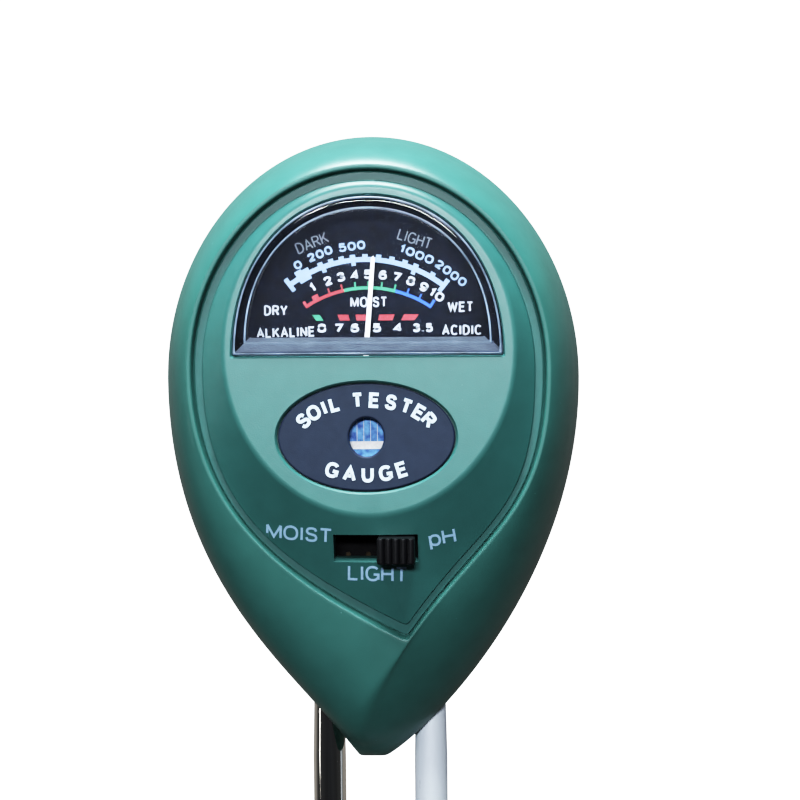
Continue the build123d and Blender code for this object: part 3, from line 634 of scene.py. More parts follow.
def rear_shell():
    rows = rear_rows(0, RIM_ROWS)
    inside = drop_loop(inset(OUTLINE, 1.2), PARTING_Y)
    radii = [0, PARTING_EDGE] + [0] * (len(rows) - 1)
    outer = skin("rear_shell_moulding", rounded_rows([inside] + rows, radii, False))
    hollow_rows = rear_rows(WALL, 13)
    for row in hollow_rows:
        row[:, 2] = np.maximum(row[:, 2], SOCKET_TOP_Z)
    front_row = hollow_rows[0].copy()
    front_row[:, 1] = PARTING_Y - 1
    hollow = skin("tool", [front_row] + hollow_rows[1:])
    for x, z in CASE_SCREWS[:2]:
        combine(hollow, bar(x, z, 3.8, PARTING_Y, 30))
    combine(outer, hollow)
    for x, z in CASE_SCREWS:
        combine(outer, bar(x, z, 2.6, 3.4, 30, 64))
        combine(outer, bar(x, z, 1.4, PARTING_Y - 1, 10))
    for x in PROBE_X:
        combine(outer, upright(x, 0, PROBE_RADIUS + 0.05, -70, CRADLE_TOP_Z))
    return smooth(outer, 34)


# ---- Face ----


def arch_loop(offset, y, sigma=0.22):
    """The window's outline, offset outwards, at depth y."""
    half = WINDOW_HALF_WIDTH + offset
    sill = WINDOW_SILL_Z - offset
    top = WINDOW_TOP_Z + offset
    rise = top - sill
    u = np.linspace(0, 1, ARCH_STEPS, endpoint=False)
    up = u**1.5
    ends = 0.5 - 0.5 * np.cos(np.pi * np.linspace(0, 1, ARCH_STEPS, endpoint=False))
    sill_line = np.column_stack([-half + 2 * half * ends, np.full(ARCH_STEPS, sill)])
    right = cubic((half, sill), (half, sill + 0.62 * rise), (0.56 * half, top), (0, top), up)
    left = right[:0:-1] * (-1, 1)
    points = np.vstack([sill_line, right, np.array([[0, top]]), left])
    loop = np.column_stack([points[:, 0], np.full(len(points), float(y)), points[:, 1]])
    return soften(loop, sigma) if sigma else loop


def face_panel():
    """The insert, whose hollow ends flat a little behind the plateau, and its uncut front for the print."""
    skirt = inset(LIP_INNER, SKIRT_GAP)
    edge = inset(LIP_INNER, MOAT_WIDTH)
    flange = inset(edge, -1.0)
    within = inset(edge, PANEL_SKIN)
    loops = [
        tilted(drop_loop(inset(PLATEAU, 3.2), PLATEAU_Y, 0.2)),
        tilted(drop_loop(PLATEAU, PLATEAU_Y, 0.2)),
        drop_loop(edge, PANEL_EDGE_Y + 0.2),
        drop_loop(edge, MOAT_Y),
        drop_loop(skirt, MOAT_Y),
        drop_loop(skirt, MOAT_Y + SKIRT_THICKNESS),
        drop_loop(edge, MOAT_Y + SKIRT_THICKNESS),
        drop_loop(edge, MOAT_BACK_Y + 0.2),
        drop_loop(flange, MOAT_BACK_Y + 0.2),
        drop_loop(flange, MOAT_BACK_Y + 1.0),
        drop_loop(within, MOAT_BACK_Y + 1.0),
        drop_loop(within, PANEL_EDGE_Y + PANEL_SKIN + 0.2),
    ]
    radii = [0, 0.55, 0.15, 0.12, 0.12, 0, 0, 0, 0, 0, 0, 0]
    panel = skin("face_panel_moulding", rounded_rows(loops, radii, False, 7))
    surface = BVHTree.FromObject(panel, bpy.context.evaluated_depsgraph_get())
    posts = [(x, z, 2.1, PLATEAU_Y + 0.5, -8.0) for x, z in MOVEMENT_POSTS]
    posts += [(x, z, 1.7, PLATEAU_Y + 1.4, -7.4) for x, z in BOARD_POSTS]
    for post in posts:
        combine(panel, bar(*post), "UNION")
    window = [
        arch_loop(GAP, 0), arch_loop(GAP, PLATEAU_Y + 0.32), arch_loop(GAP + 0.3, PLATEAU_Y - 0.06),
        arch_loop(GAP + 0.3, PLATEAU_Y - 4),
    ]
    edges = (0, 0.15, 0.1, 0)
    combine(panel, tilted_skin("tool", window, edges, False, 3))
    badge_back = BADGE_FRONT_Y + BADGE_THICKNESS
    half = (BADGE_HALF_WIDTH + GAP, BADGE_HALF_HEIGHT + GAP)
    levels = (badge_back, 0), (PLATEAU_Y + 0.34, 0), (PLATEAU_Y - 0.05, 0.38), (PLATEAU_Y - 4, 0.38)
    pocket = [ring(BADGE_X, BADGE_Z, *half, y, flare=flare) for y, flare in levels]
    combine(panel, tilted_skin("tool", pocket, edges, False, 3))
    combine(panel, bar(BADGE_X, BADGE_Z, 3.5, -20, 0))
    combine(panel, slot_tool(surface))
    return smooth(panel, 34), surface


def surface_y(surface, x, z):
    """The depth of the uncut panel's front at a place, in millimetres."""
    start = Vector((x * MM, -0.05, (z + HEAD_RISE) * MM))
    hit = surface.ray_cast(start, Vector((0, 1, 0)))
    return hit[0].y / MM


LEDGE = 0.55  # how far the slot's lower wall leans out as it comes forward


def slot_tool(surface):
    """The slot: a straight hole, whose lower wall leans out into a ledge at the front."""

    def level(grow, ledge, depth, fixed=False):
        """The slot at one depth: a fixed one, or one measured from the panel's front."""
        x0, x1 = SLOT_LEFT - grow, SLOT_RIGHT + grow
        z0, z1 = SLOT_BOTTOM + ledge - grow * 0.5, SLOT_TOP + grow
        points = rectangle(x0, x1, z0, z1, 16)
        if fixed:
            return np.array([(x, depth, z) for x, z in points])
        return np.array([(x, surface_y(surface, x, z) + depth, z) for x, z in points])

    back = [level(0, LEDGE, -9.0, True), level(0, LEDGE, 0.95)]
    return skin("tool", back + [level(0.06, 0, -0.03), level(0.06, 0, -24.0, True)])


def dial_window():
    loops = [
        arch_loop(-2.6, WINDOW_FRONT_Y), arch_loop(0, WINDOW_FRONT_Y), arch_loop(0, WINDOW_BACK_Y),
        arch_loop(-WINDOW_WALL, WINDOW_BACK_Y), arch_loop(-WINDOW_WALL, WINDOW_FRONT_Y + 1.2),
        arch_loop(-WINDOW_WALL - 1.6, WINDOW_FRONT_Y + 1.2),
    ]
    cap = smooth(tilted_skin("window_cap", loops, (0, 0.75, 0.15, 0.15, 0.5, 0), False, 6), 40)
    cap.data.materials.append(MATERIALS["clear_cap"])
    cap.data.materials.append(FROSTED)
    for face in cap.data.polygons:
        rise = face.center.z / MM - HEAD_RISE - WINDOW_SILL_Z
        inwards = WINDOW_HALF_WIDTH - abs(face.center.x) / MM
        if rise < min(WINDOW_WALL + 0.15, inwards + 0.05):
            face.material_index = 1
    cap.visible_shadow = False
    return cap


def window_painted_highlights():
    """Painted highlight lines: two thin beads that stand in for the light the window's thick rounded rim
    catches, one at its outer edge, one at its inner.
    """
    parts = []
    outer_highlight = (-0.24, WINDOW_FRONT_Y + 0.22, 0.17)
    inner_highlight = (-WINDOW_WALL - 0.12, WINDOW_FRONT_Y + 1.3, 0.15)
    for offset, y, radius in (outer_highlight, inner_highlight):
        rows = [
            tilted(arch_loop(offset + radius * math.cos(a), y + radius * math.sin(a)))
            for a in np.linspace(0, 2 * math.pi, 10, endpoint=False)
        ]
        parts.append(smooth(skin("bead", rows, closed=True), 60))
    return join("window_rim_painted_highlights", parts)


def badge_plate():
    back = BADGE_FRONT_Y + BADGE_THICKNESS
    half = (BADGE_HALF_WIDTH, BADGE_HALF_HEIGHT)
    hole = (SENSOR_HALF_WIDTH, SENSOR_HALF_HEIGHT)
    edges = ((half, back), (half, BADGE_FRONT_Y), (hole, BADGE_FRONT_Y), (hole, back))
    loops = [ring(BADGE_X, BADGE_Z, *size, y, 160) for size, y in edges]
    return smooth(tilted_skin("badge_oval", loops, (0, 0.3, 0.35, 0), True, 5), 40)


# ---- Print ----


def prism(outline, y, thickness):
    """A thin printed shape: an outline of (x, z) points, as thick as its ink."""
    flat = np.array(outline, float)
    n = len(flat)
    points = np.vstack([
        np.column_stack([flat[:, 0], np.full(n, y - thickness), flat[:, 1]]),
        np.column_stack([flat[:, 0], np.full(n, y + 0.01), flat[:, 1]]),
    ])
    faces = [tuple(range(n)), tuple(range(2 * n - 1, n - 1, -1))]
    faces += [(j, (j + 1) % n, n + (j + 1) % n, n + j) for j in range(n)]
    mesh = bpy.data.meshes.new("print")
    mesh.from_pydata([tuple(p) for p in to_frame(points)], [], faces)
    return new_object("print", tidy_mesh(mesh))


def polar(centre, radius, degrees):
    a = math.radians(degrees)
    return centre[0] + radius * math.sin(a), centre[1] + radius * math.cos(a)


def sector(centre, r0, r1, a0, a1):
    """A piece of a ring between two radii and two angles, clockwise from straight up."""
    steps = max(2, int(abs(a1 - a0) / 1.2) + 1)
    angles = np.linspace(a0, a1, steps)
    outer = [polar(centre, r1, a) for a in angles]
    inner = [polar(centre, r0, a) for a in angles[::-1]]
    return prism(outer + inner, DIAL_Y, INK)


def bow(*points, steps=7):
    """A smooth stroke through a few points."""
    p = np.array([points[0], *points, points[-1]], float)
    out = []
    for i in range(1, len(p) - 2):
        for t in np.linspace(0, 1, steps, endpoint=False):
            out.append(0.5 * (2 * p[i] + (p[i + 1] - p[i - 1]) * t
                              + (2 * p[i - 1] - 5 * p[i] + 4 * p[i + 1] - p[i + 2]) * t**2
                              + (3 * p[i] - p[i - 1] - 3 * p[i + 1] + p[i + 2]) * t**3))
    return np.vstack([out, p[-1:]])


def bowl(x, y, rx, ry, a0=0.0, a1=360.0, square=0.85):
    """An oval stroke, slightly squared, between two angles. A whole turn has no end."""
    whole = a1 - a0 >= 360
    turn = np.radians(np.linspace(a0, a1, 33)[:-1] if whole else np.linspace(a0, a1, 28))
    c, s = np.cos(turn), np.sin(turn)
    across = x + rx * np.sign(c) * np.abs(c) ** square
    return np.column_stack([across, y + ry * np.sign(s) * np.abs(s) ** square])


# Plain block characters: the width of each for a height of one, and its strokes in a box 100 by 100
GLYPHS = {
    "A": (0.80, [[(0, 0), (50, 100), (100, 0)], [(20, 33), (80, 33)]]),
    "C": (0.74, [bowl(52, 50, 52, 50, 42, 318)]),
    "D": (0.74, [
        [(0, 0), (0, 100)], bow((0, 100), (42, 100), (86, 84), (100, 50), (86, 16), (42, 0), (0, 0))]),
    "E": (0.64, [[(100, 0), (0, 0), (0, 100), (100, 100)], [(0, 52), (90, 52)]]),
    "G": (0.80, [bowl(52, 50, 52, 50, 42, 330), [(60, 44), (100, 44), (100, 5)]]),
    "H": (0.70, [[(0, 0), (0, 100)], [(100, 0), (100, 100)], [(0, 52), (100, 52)]]),
    "I": (0.10, [[(50, 0), (50, 100)]]),
    "K": (0.72, [[(0, 0), (0, 100)], [(95, 100), (0, 36)], [(36, 60), (100, 0)]]),
    "L": (0.58, [[(0, 100), (0, 0), (100, 0)]]),
    "M": (0.88, [[(0, 0), (0, 100)], [(0, 100), (50, 8), (100, 100)], [(100, 100), (100, 0)]]),
    "N": (0.72, [[(0, 0), (0, 100)], [(0, 100), (100, 0)], [(100, 0), (100, 100)]]),
    "O": (0.82, [bowl(50, 50, 50, 50)]),
    "R": (0.72, [
        [(0, 0), (0, 100)], [(52, 50), (100, 0)],
        bow((0, 100), (50, 100), (88, 92), (94, 75), (88, 58), (50, 50), (0, 50))]),
    "S": (0.66, [
        bow((95, 76), (82, 94), (50, 100), (16, 93), (6, 74), (20, 58), (50, 51),
            (84, 43), (97, 25), (85, 6), (50, 0), (14, 6), (2, 25))]),
    "T": (0.68, [[(0, 100), (100, 100)], [(50, 100), (50, 0)]]),
    "U": (0.70, [
        bow((0, 100), (0, 70), (1, 34), (14, 8), (50, 0), (86, 8), (99, 34), (100, 70),
            (100, 100))]),
    "W": (1.15, [[(0, 100), (26, 0), (50, 90), (74, 0), (100, 100)]]),
    "Y": (0.76, [[(0, 100), (50, 42), (100, 100)], [(50, 42), (50, 0)]]),
    "p": (0.60, [[(0, 74), (0, -32)], bowl(50, 36, 50, 37)]),
    "0": (0.70, [bowl(50, 50, 50, 50)]),
    "1": (0.30, [[(0, 72), (70, 100), (70, 0)]]),
    "2": (0.66, [
        bow((4, 74), (18, 94), (52, 100), (86, 90), (94, 70), (72, 44), (30, 20),
            (0, 0)),
        [(0, 0), (100, 0)]]),
    "3": (0.66, [
        bow((5, 80), (22, 96), (50, 100), (84, 92), (90, 74), (76, 57), (40, 53)),
        bow((40, 53), (82, 48), (97, 28), (84, 7), (48, 0), (14, 6), (2, 24))]),
    "4": (0.70, [[(74, 0), (74, 100), (0, 28), (100, 28)]]),
    "5": (0.66, [
        [(92, 100), (16, 100), (8, 50)],
        bow((8, 50), (26, 60), (54, 64), (88, 55), (98, 33), (86, 8), (48, 0),
            (14, 6), (2, 22))]),
    "6": (0.66, [
        bowl(50, 31, 48, 31),
        bow((92, 84), (76, 97), (50, 100), (20, 90), (5, 62), (2, 34))]),
    "7": (0.64, [[(0, 100), (100, 100), (34, 0)]]),
    "8": (0.66, [bowl(50, 76, 42, 24), bowl(50, 27, 50, 27)]),
    "9": (0.66, [
        bowl(50, 69, 48, 31),
        bow((8, 16), (24, 3), (50, 0), (80, 10), (95, 38), (98, 66))]),
    ".": (0.04, [[(50, 0), (50, 6)]]),
}
# Which of a character's strokes are whole ovals
OVALS = {"O": (0,), "0": (0,), "p": (1,), "6": (0,), "8": (0, 1), "9": (0,)}


def ribbon(points, width, closed):
    """The two edges of a stroke of even width."""
    ahead = np.roll(points, -1, 0) - points
    behind = points - np.roll(points, 1, 0)
    if not closed:
        ahead[-1], behind[0] = behind[-1], ahead[0]
    ahead /= np.linalg.norm(ahead, axis=1, keepdims=True) + 1e-9
    behind /= np.linalg.norm(behind, axis=1, keepdims=True) + 1e-9
    first = behind[:, ::-1] * (-1, 1)
    second = ahead[:, ::-1] * (-1, 1)
    middle = first + second
    middle /= np.linalg.norm(middle, axis=1, keepdims=True) + 1e-9
    reach = np.maximum(0.55, (middle * first).sum(1, keepdims=True))
    side = middle / reach * width / 2
    return points + side, points - side


def divided(points, closed, step=0.5):
    """The stroke with extra points, so that it can lie on a curved surface."""
    ends = np.vstack([points[1:], points[:1]]) if closed else points[1:]
    out = []
    for a, b in zip(points, ends):
        count = max(1, int(np.linalg.norm(b - a) / step))
        out += [a + (b - a) * k / count for k in range(count)]
    return np.array(out if closed else [*out, points[-1]])


def lettering(text, x, z, height, width, turn=0.0, stroke=0.3, lay=None, thick=INK):
    """Printed characters about (x, z), turned clockwise, on the dial or the surface whose depth lay gives."""
    gap = stroke * 0.62
    natural = sum(GLYPHS[ch][0] for ch in text)
    stretch = (width - stroke * len(text) - gap * (len(text) - 1)) / natural
    tall = height - stroke
    a = math.radians(turn)
    pen = -width / 2 + stroke / 2
    parts = []
    for ch in text:
        share, strokes = GLYPHS[ch]
        for i, points in enumerate(strokes):
            closed = i in OVALS.get(ch, ())
            line = np.array(points, float) / 100 * (share * stretch, tall) + (pen, -tall / 2)
            left, right = ribbon(divided(line, closed), stroke, closed)
            sides = []
            for edge in (left, right):
                px = x + edge[:, 0] * math.cos(a) + edge[:, 1] * math.sin(a)
                pz = z - edge[:, 0] * math.sin(a) + edge[:, 1] * math.cos(a)
                depth = np.array([lay(i, k) if lay else DIAL_Y for i, k in zip(px, pz)])
                front, back = depth - thick, depth + 0.012
                sides.append([np.column_stack([px, front, pz]), np.column_stack([px, back, pz])])
            (left_front, left_back), (right_front, right_back) = sides
            rows = np.stack([left_front, right_front, right_back, left_back], axis=1)
            parts.append(skin("stroke", rows, closed=closed))
        pen += share * stretch + stroke + gap
    return parts


LIGHT_CENTRE = (-0.6, -1.04)
LIGHT_RADIUS = 19.0
MOIST_CENTRE = (-0.3, -2.9)
MOIST_RADIUS = 16.65


def light_scale():
    c, inner, outer = LIGHT_CENTRE, LIGHT_RADIUS - 0.37, LIGHT_RADIUS + 0.37
    parts = [sector(c, inner, outer, -35.4, 36.6)]
    for a in (-20.2, -15.3, -10.6, -5.6, -0.2, 5.8, 11.7, 17.6, 22.6, 30.8):
        parts.append(sector(c, outer, outer + 0.42, a - 1.15, a + 1.15))
    for a in (-19.4, -5.5, 22.6):
        parts.append(sector(c, inner - 0.5, inner, a - 1.0, a + 1.0))
    # The wide block near the dark end, and the brackets that close both ends
    for r0, r1, a0, a1 in (
        (outer, outer + 0.75, -31.9, -28.7), (outer, outer + 0.5, -28.7, -25.6),
        (inner - 0.5, inner, -31.9, -26.0),
        (inner - 0.75, outer + 0.75, -37.4, -35.4), (inner - 0.75, outer + 0.75, 36.6, 38.6),
    ):
        parts.append(sector(c, r0, r1, a0, a1))
    return join("dial_light_scale", parts)


def moisture_scale(name, a0, a1, ticks, blocks=()):
    c, inner, outer = MOIST_CENTRE, MOIST_RADIUS - 0.24, MOIST_RADIUS + 0.24
    parts = [sector(c, inner, outer, a0, a1)]
    for a in ticks:
        parts.append(sector(c, outer, outer + 0.72, a - 0.42, a + 0.42))
    for b0, b1, height in blocks:
        parts.append(sector(c, outer, outer + height, b0, b1))
    return join(name, parts)


def ph_blocks(spans):
    """Sloping blocks whose ends point at the pivot."""
    low, middle, high = 8.9, 9.33, 9.77
    parts = []
    for x0, x1 in spans:
        def lean(x, z):
            across, up = x - LIGHT_CENTRE[0], z - LIGHT_CENTRE[1]
            return LIGHT_CENTRE[0] + across * up / (middle - LIGHT_CENTRE[1]), z

        corners = [lean(x0, low), lean(x1, low), lean(x1, high), lean(x0, high)]
        parts.append(prism(corners, DIAL_Y, INK))
    return parts


def dial_art():
    arts = [(light_scale(), INK_BLUE_WHITE)]
    red_blocks = [(-33.8, -32.4, 0.6), (-28.6, -25.4, 0.6)]
    red = moisture_scale("dial_red_band", -33.8, -12.2, (-19.6, -13.0), red_blocks)
    blue = moisture_scale("dial_blue_band", 14.3, 34.6, (20.4, 27.0), [(33.2, 34.6, 0.9)])
    green = moisture_scale("dial_green_band", -12.2, 14.3, (-6.2, 0.4, 7.0, 13.7))
    acid_blocks = ph_blocks([(-4.66, -3.12), (-2.08, -0.16), (1.3, 3.5), (4.86, 6.95)])
    red = join("dial_red_marks", [red] + acid_blocks)
    green = join("dial_green_marks", [green] + ph_blocks([(-8.3, -7.2)]))
    arts += [(red, INK_RED), (green, INK_GREEN), (blue, INK_BLUE)]
    light_numbers = [
        ("0", -10.66, 17.22, 1.25, 1.2, -30), ("200", -7.36, 18.83, 1.3, 3.9, -22),
        ("500", -2.59, 19.93, 1.3, 4.0, -7), ("1000", 7.06, 18.67, 1.3, 5.3, 22),
        ("2000", 12.1, 15.85, 1.3, 5.4, 37),
    ]
    parts = []
    for text, x, z, height, width, turn in light_numbers:
        parts += lettering(text, x, z, height, width, turn, 0.3)
    arts.append((join("dial_light_numbers", parts), INK_BLUE_WHITE))
    parts = lettering("DARK", -8.54, 20.47, 1.7, 5.0, -22, 0.21)
    parts += lettering("LIGHT", 6.78, 20.95, 1.7, 5.2, 18, 0.21)
    arts.append((join("dial_light_words", parts), INK_GREY))
    moist_numbers = [
        ("1", -8.46, 13.86, -30), ("2", -6.21, 14.81, -21), ("3", -4.27, 15.39, -14), ("4", -2.18, 15.67, -7),
        ("5", -0.25, 15.75, 0), ("6", 1.98, 15.64, 5), ("7", 4.06, 15.33, 12), ("8", 6.14, 14.72, 20),
        ("9", 8.06, 13.82, 27), ("10", 9.98, 12.62, 34),
    ]
    widths = {"1": 0.75, "10": 2.3}
    parts = []
    for text, x, z, turn in moist_numbers:
        parts += lettering(text, x, z, 1.38, widths.get(text, 1.25), turn, 0.34)
    for text, x in (("8", -7.18), ("7", -4.65), ("6", -2.26), ("5", 1.02), ("4", 4.14)):
        parts += lettering(text, x, 7.8, 1.32, 1.3, 0, 0.34)
    parts += lettering("3.5", 7.86, 7.78, 1.32, 3.0, 0, 0.34)
    words = [
        ("DRY", -14.02, 10.48, 3.5, 0), ("MOIST", -0.14, 11.65, 5.5, 0), ("WET", 13.46, 10.85, 3.8, 0),
        ("ALKALINE", -12.57, 7.2, 8.7, -1.5), ("ACIDIC", 13.66, 7.4, 5.9, 0),
    ]
    for text, x, z, width, turn in words:
        parts += lettering(text, x, z, 1.55, width, turn, 0.27)
    arts.append((join("dial_numbers_and_words", parts), INK_WHITE))
    for obj, ink in arts:
        placed(obj, "case", "dial_print", material=ink)


def badge_depth(x, z):
    """The tilted badge's front at a place."""
    return BADGE_FRONT_Y - (z - FACE_TILT_Z) * math.tan(math.radians(-FACE_TILT))


def arc_words(text, half_width, half_height, span, height, upper):
    """Plain block letters spaced along an oval, which read from left to right above and below its middle."""
    stroke = 0.5
    wide = {ch: GLYPHS[ch][0] * height * 0.8 for ch in text if ch != " "}
    widths = [wide[ch] + stroke * 1.75 if ch in wide else 0.9 for ch in text]
    total = sum(widths)
    parts = []
    run = 0.0
    for ch, w in zip(text, widths):
        share = (run + w / 2) / total - 0.5
        run += w
        if ch == " ":
            continue
        a = math.radians(share * span)
        x = BADGE_X + half_width * math.sin(a)
        z = BADGE_Z + (half_height if upper else -half_height) * math.cos(a)
        slope = math.degrees(math.atan2(half_height * math.sin(a), half_width * math.cos(a)))
        turn = slope if upper else -slope
        parts += lettering(ch, x, z, height, wide[ch] + stroke, turn, stroke, lay=badge_depth, thick=0.05)
    return parts


def labels(surface):
    def lay(x, z):
        return surface_y(surface, x, z)

    parts = []
    for text, *place in (
        ("MOIST", -10.35, -22.1, 2.25, 9.95, 3.5), ("LIGHT", 1.2, -28.1, 2.35, 8.85, 2.0),
        ("pH", 10.75, -22.7, 2.3, 3.95, -8.0),
    ):
        parts += lettering(text, *place, 0.36, lay=lay, thick=0.02)
    return join("panel_labels", parts)


# ---- Switch ----


def switch_knob():
    """A ribbed grip over a narrower stem and the foot that the switch carries."""
    ribs = 5
    pitch = (KNOB_RIGHT - KNOB_LEFT) / ribs
    x = np.linspace(KNOB_LEFT, KNOB_RIGHT, 121)
    wave = np.abs(np.sin(np.pi * (x - KNOB_LEFT) / pitch)) ** 0.55
    front_y = KNOB_FRONT_Y + 0.45 * (1 - wave)
    grip_back = -17.0
    front = np.column_stack([x, front_y])
    side = np.linspace(0, 1, 12, endpoint=False)[1:, None]
    right = front[-1] + (np.array([KNOB_RIGHT, grip_back]) - front[-1]) * side
    back = np.column_stack([np.linspace(KNOB_RIGHT, KNOB_LEFT, 40), np.full(40, grip_back)])
    left = np.array([KNOB_LEFT, grip_back]) + (front[0] - np.array([KNOB_LEFT, grip_back])) * side
    outline = np.vstack([front, right, back, left])
    centre = outline.mean(0)

    def level(z, shrink):
        half = np.abs(outline - centre).max(0)
        flat = centre + (outline - centre) * (1 - shrink / half)
        return np.column_stack([flat[:, 0], flat[:, 1], np.full(len(flat), z)])

    loops = [level(KNOB_BOTTOM, 0.5), level(KNOB_BOTTOM, 0), level(KNOB_TOP, 0), level(KNOB_TOP, 0.5)]
    grip = skin("switch_grip", rounded_rows(loops, (0, 0.28, 0.28, 0), False, 4))
    play = 0.12
    stem_bottom = SLOT_BOTTOM + LEDGE + play
    stem = block(KNOB_LEFT + play, KNOB_RIGHT - play, -17.2, -11.8, stem_bottom, KNOB_TOP - 0.02)
    foot = block(KNOB_LEFT, KNOB_RIGHT, -12.0, -11.2, -26.55, -22.05, 0.1)
    combine(grip, stem, "UNION")
    combine(grip, foot, "UNION")
    return smooth(grip, 30)


def cell_bar():
    """The silver bar across the photocell, and the fine fingers that run up from it."""
    half = CELL_SIDE / 2 - 0.15
    bottom, top, finger_top = -9.75, -8.6, -4.7
    parts = [prism(rectangle(BADGE_X - half, BADGE_X + half, bottom, top, 1), CELL_FRONT_Y, 0.05)]
    for x in np.arange(BADGE_X - 1.5, BADGE_X + 1.6, 1.0):
        parts.append(prism(rectangle(x - 0.03, x + 0.03, top, finger_top, 1), CELL_FRONT_Y, 0.02))
    return join("cell_silver_bar", parts)


# ---- Build ----

panel, panel_surface = face_panel()
placed(front_shell(), "case", "green_shell", "front_shell")
placed(rear_shell(), "case", "green_rear", "rear_shell")
placed(panel, "case", "green_panel", "face_panel")
placed(dial_window(), "case", "clear_cap", "dial_window")
# The window rim's painted highlight lines
placed(window_painted_highlights(), "case", "clear_cap", material=PAINTED_RIM_HIGHLIGHT)
placed(badge_plate(), "case", "badge_slate", "badge_plate")
placed(switch_knob(), "switch_slider", "black_plastic", "switch_knob")
dial_art()
upper = arc_words("SOIL TESTER", 10.35, 5.45, 140, 2.25, True)
lower = arc_words("GAUGE", 10.3, 5.45, 74, 2.3, False)
placed(join("badge_words", upper + lower), "case", "badge_slate", material=BADGE_INK)
placed(labels(panel_surface), "case", "green_panel", material=LABEL_INK)
placed(cell_bar(), "case", "silicon_blue", material=SILVER_BAR)

for node in frame["nodes"].values():
    for place in node.material_slots:
        if place.material:
            place.material = MATERIALS[place.material.name.split(".")[0]]

# ---- Floor, light and camera ----


def floor():
    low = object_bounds()[0].z
    across = 6.0
    mesh = bpy.data.meshes.new("floor")
    steps = np.linspace(-across / 2, across / 2, 13)
    points = [(x, y, low) for y in steps for x in steps]
    n = len(steps)
    corners = [r * n + c for r in range(n - 1) for c in range(n - 1)]
    faces = [(i, i + 1, i + n + 1, i + n) for i in corners]
    mesh.from_pydata(points, [], faces)
    ground = new_object("floor", mesh)
    paper = finish("floor_paper", (0.86, 0.87, 0.88), 0.8, mottle=(4, 0.01), grain=(300, 0.02))
    shader = paper.node_tree.nodes["Principled BSDF"]
    shader.inputs["Emission Color"].default_value = (1, 1, 1, 1)
    shader.inputs["Emission Strength"].default_value = BACKDROP * 0.85
    ground.data.materials.append(paper)
    ground.visible_diffuse = False
    ground.visible_glossy = False
    ground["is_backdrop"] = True


def area_light(name, place, aim, size, power, colour):
    data = bpy.data.lights.new(name, "AREA")
    data.shape = "RECTANGLE"
    data.size, data.size_y = size
    data.energy = power
    data.color = colour
    lamp = new_object(name, data)
    lamp.location = place
    lamp.rotation_mode = "QUATERNION"
    lamp.rotation_quaternion = (Vector(aim) - Vector(place)).to_track_quat("-Z", "Y")
    lamp.visible_camera = False
    return lamp


HEAD = (0.0, -0.005, 0.055)
BACKDROP = 1.9  # radiance that the tone curve below takes to white
TONES = [
    (0.0, 0.0), (0.05, 0.025), (0.10, 0.064), (0.20, 0.165), (0.40, 0.425), (0.70, 0.69), (1.0, 0.84),
    (1.8, 1.0),
]


def around_head(azimuth, elevation, distance):
    """A place seen from the head, with the azimuth to the right of straight on."""
    a, e = math.radians(azimuth), math.radians(elevation)
    return (
        HEAD[0] + distance * math.sin(a) * math.cos(e),
        HEAD[1] - distance * math.cos(a) * math.cos(e),
        HEAD[2] + distance * math.sin(e),
    )


def lights():
    area_light("top_softbox", around_head(-9, 75, 0.9), HEAD, (0.50, 0.36), 29.0, (0.91, 0.98, 1.0))
    area_light("front_softbox", around_head(-2, 16, 1.1), HEAD, (0.34, 0.09), 10.2, (0.93, 0.95, 1.0))
    area_light("left_strip", around_head(-72, 6, 0.8), HEAD, (0.05, 0.6), 0.6, (1.0, 0.99, 0.97))


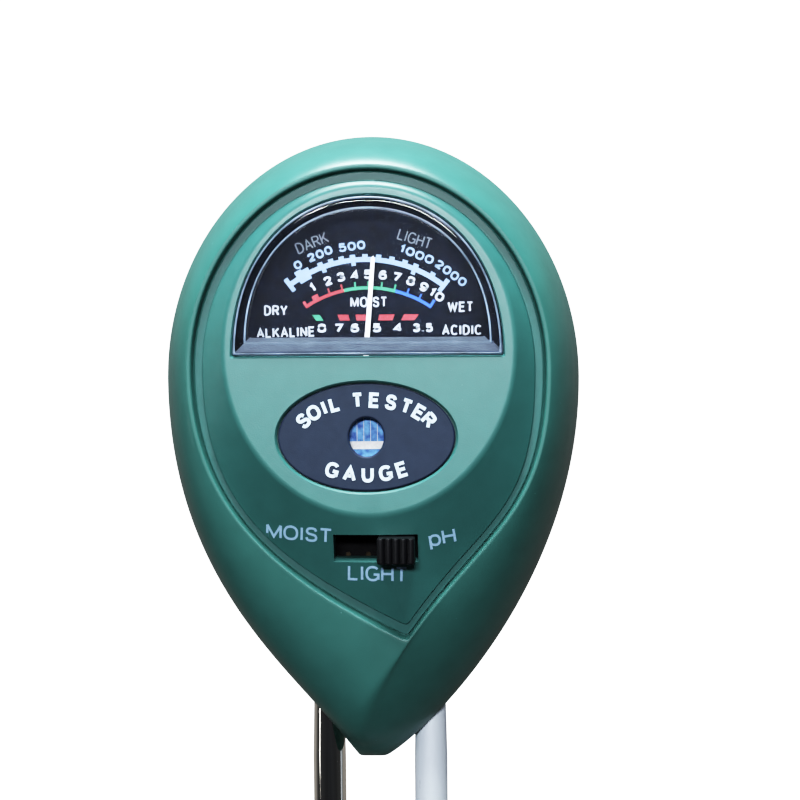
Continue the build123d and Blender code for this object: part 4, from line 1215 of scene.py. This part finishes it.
def world():
    made = bpy.data.worlds.new("studio")
    bpy.context.scene.world = made
    made.use_nodes = True
    tree = made.node_tree
    tree.nodes.clear()
    out = add(tree, "OutputWorld")
    seen = add(tree, "Background", {"Color": (1, 1, 1, 1), "Strength": BACKDROP})
    around = add(tree, "Background", {"Strength": 0.55})
    place = add(tree, "TexCoord")
    split = add(tree, "SeparateXYZ")
    link(place, "Generated", split, "Vector")

    def rising(output, levels):
        """Brightness that grows along one direction, from -1 to 1."""
        share = add(tree, "MapRange", {"From Min": -1.0})
        link(split, output, share, "Value")
        ramp = add(tree, "ValToRGB")
        while len(ramp.color_ramp.elements) < len(levels):
            ramp.color_ramp.elements.new(0.5)
        for element, (position, colour) in zip(ramp.color_ramp.elements, levels):
            element.position = position
            element.color = (*colour, 1)
        link(share, "Result", ramp, "Fac")
        return ramp

    both = colour_mix(tree, "MULTIPLY")
    both.inputs["Factor"].default_value = 1.0
    dim, side, bright = (0.10, 0.11, 0.13), (0.22, 0.23, 0.24), (1.0, 0.98, 0.96)
    link(rising("Y", [(0.0, dim), (0.5, side), (0.72, bright), (1.0, bright)]), "Color", both, "A")
    below, level, above = (0.30, 0.29, 0.27), (0.62, 0.62, 0.62), (1.0, 1.0, 1.0)
    link(rising("Z", [(0.0, below), (0.5, level), (1.0, above)]), "Color", both, "B")
    link(both, "Result", around, "Color")
    rays = add(tree, "LightPath")
    mix = add(tree, "MixShader")
    link(rays, "Is Camera Ray", mix, "Fac")
    link(around, "Background", mix, 1)
    link(seen, "Background", mix, 2)
    link(mix, "Shader", out, "Surface")


CAMERA_DISTANCE = 0.45
LOOKED_AT = (4.65, -14.0, HEAD_RISE - 2.57)
LENS = 137.77
SENSOR_WIDTH = 36.0


def camera():
    """Three degrees to the right of straight on and four above, turned slightly on its own axis."""
    azimuth, elevation, roll = math.radians(3), math.radians(4), math.radians(-0.5)
    target = Vector(LOOKED_AT) * MM
    back = Vector((math.sin(azimuth) * math.cos(elevation), -math.cos(azimuth) * math.cos(elevation),
                   math.sin(elevation)))
    right = (-back).cross(Vector((0, 0, 1))).normalized()
    up = right.cross(-back)
    right_turned = right * math.cos(roll) + up * math.sin(roll)
    up_turned = up * math.cos(roll) - right * math.sin(roll)
    data = bpy.data.cameras.new("camera")
    data.lens = LENS
    data.sensor_width = SENSOR_WIDTH
    data.clip_start = 0.01
    view = new_object("camera", data)
    view.matrix_world = Matrix.Translation(target + back * CAMERA_DISTANCE) @ Matrix(
        (right_turned, up_turned, back)).transposed().to_4x4()
    bpy.context.scene.camera = view


def tone_curve():
    """A photograph's contrast: darker shadows and soft highlights."""
    settings = bpy.context.scene.view_settings
    settings.view_transform = "Standard"
    settings.use_curve_mapping = True
    mapping = settings.curve_mapping
    white = TONES[-1][0]
    mapping.white_level = (white, white, white)
    curve = mapping.curves[3]
    while len(curve.points) < len(TONES):
        curve.points.new(0.5, 0.5)
    for point, (level, tone) in zip(curve.points, TONES):
        point.location = (level / white, tone)
    mapping.update()


floor()
lights()
world()
camera()
tone_curve()
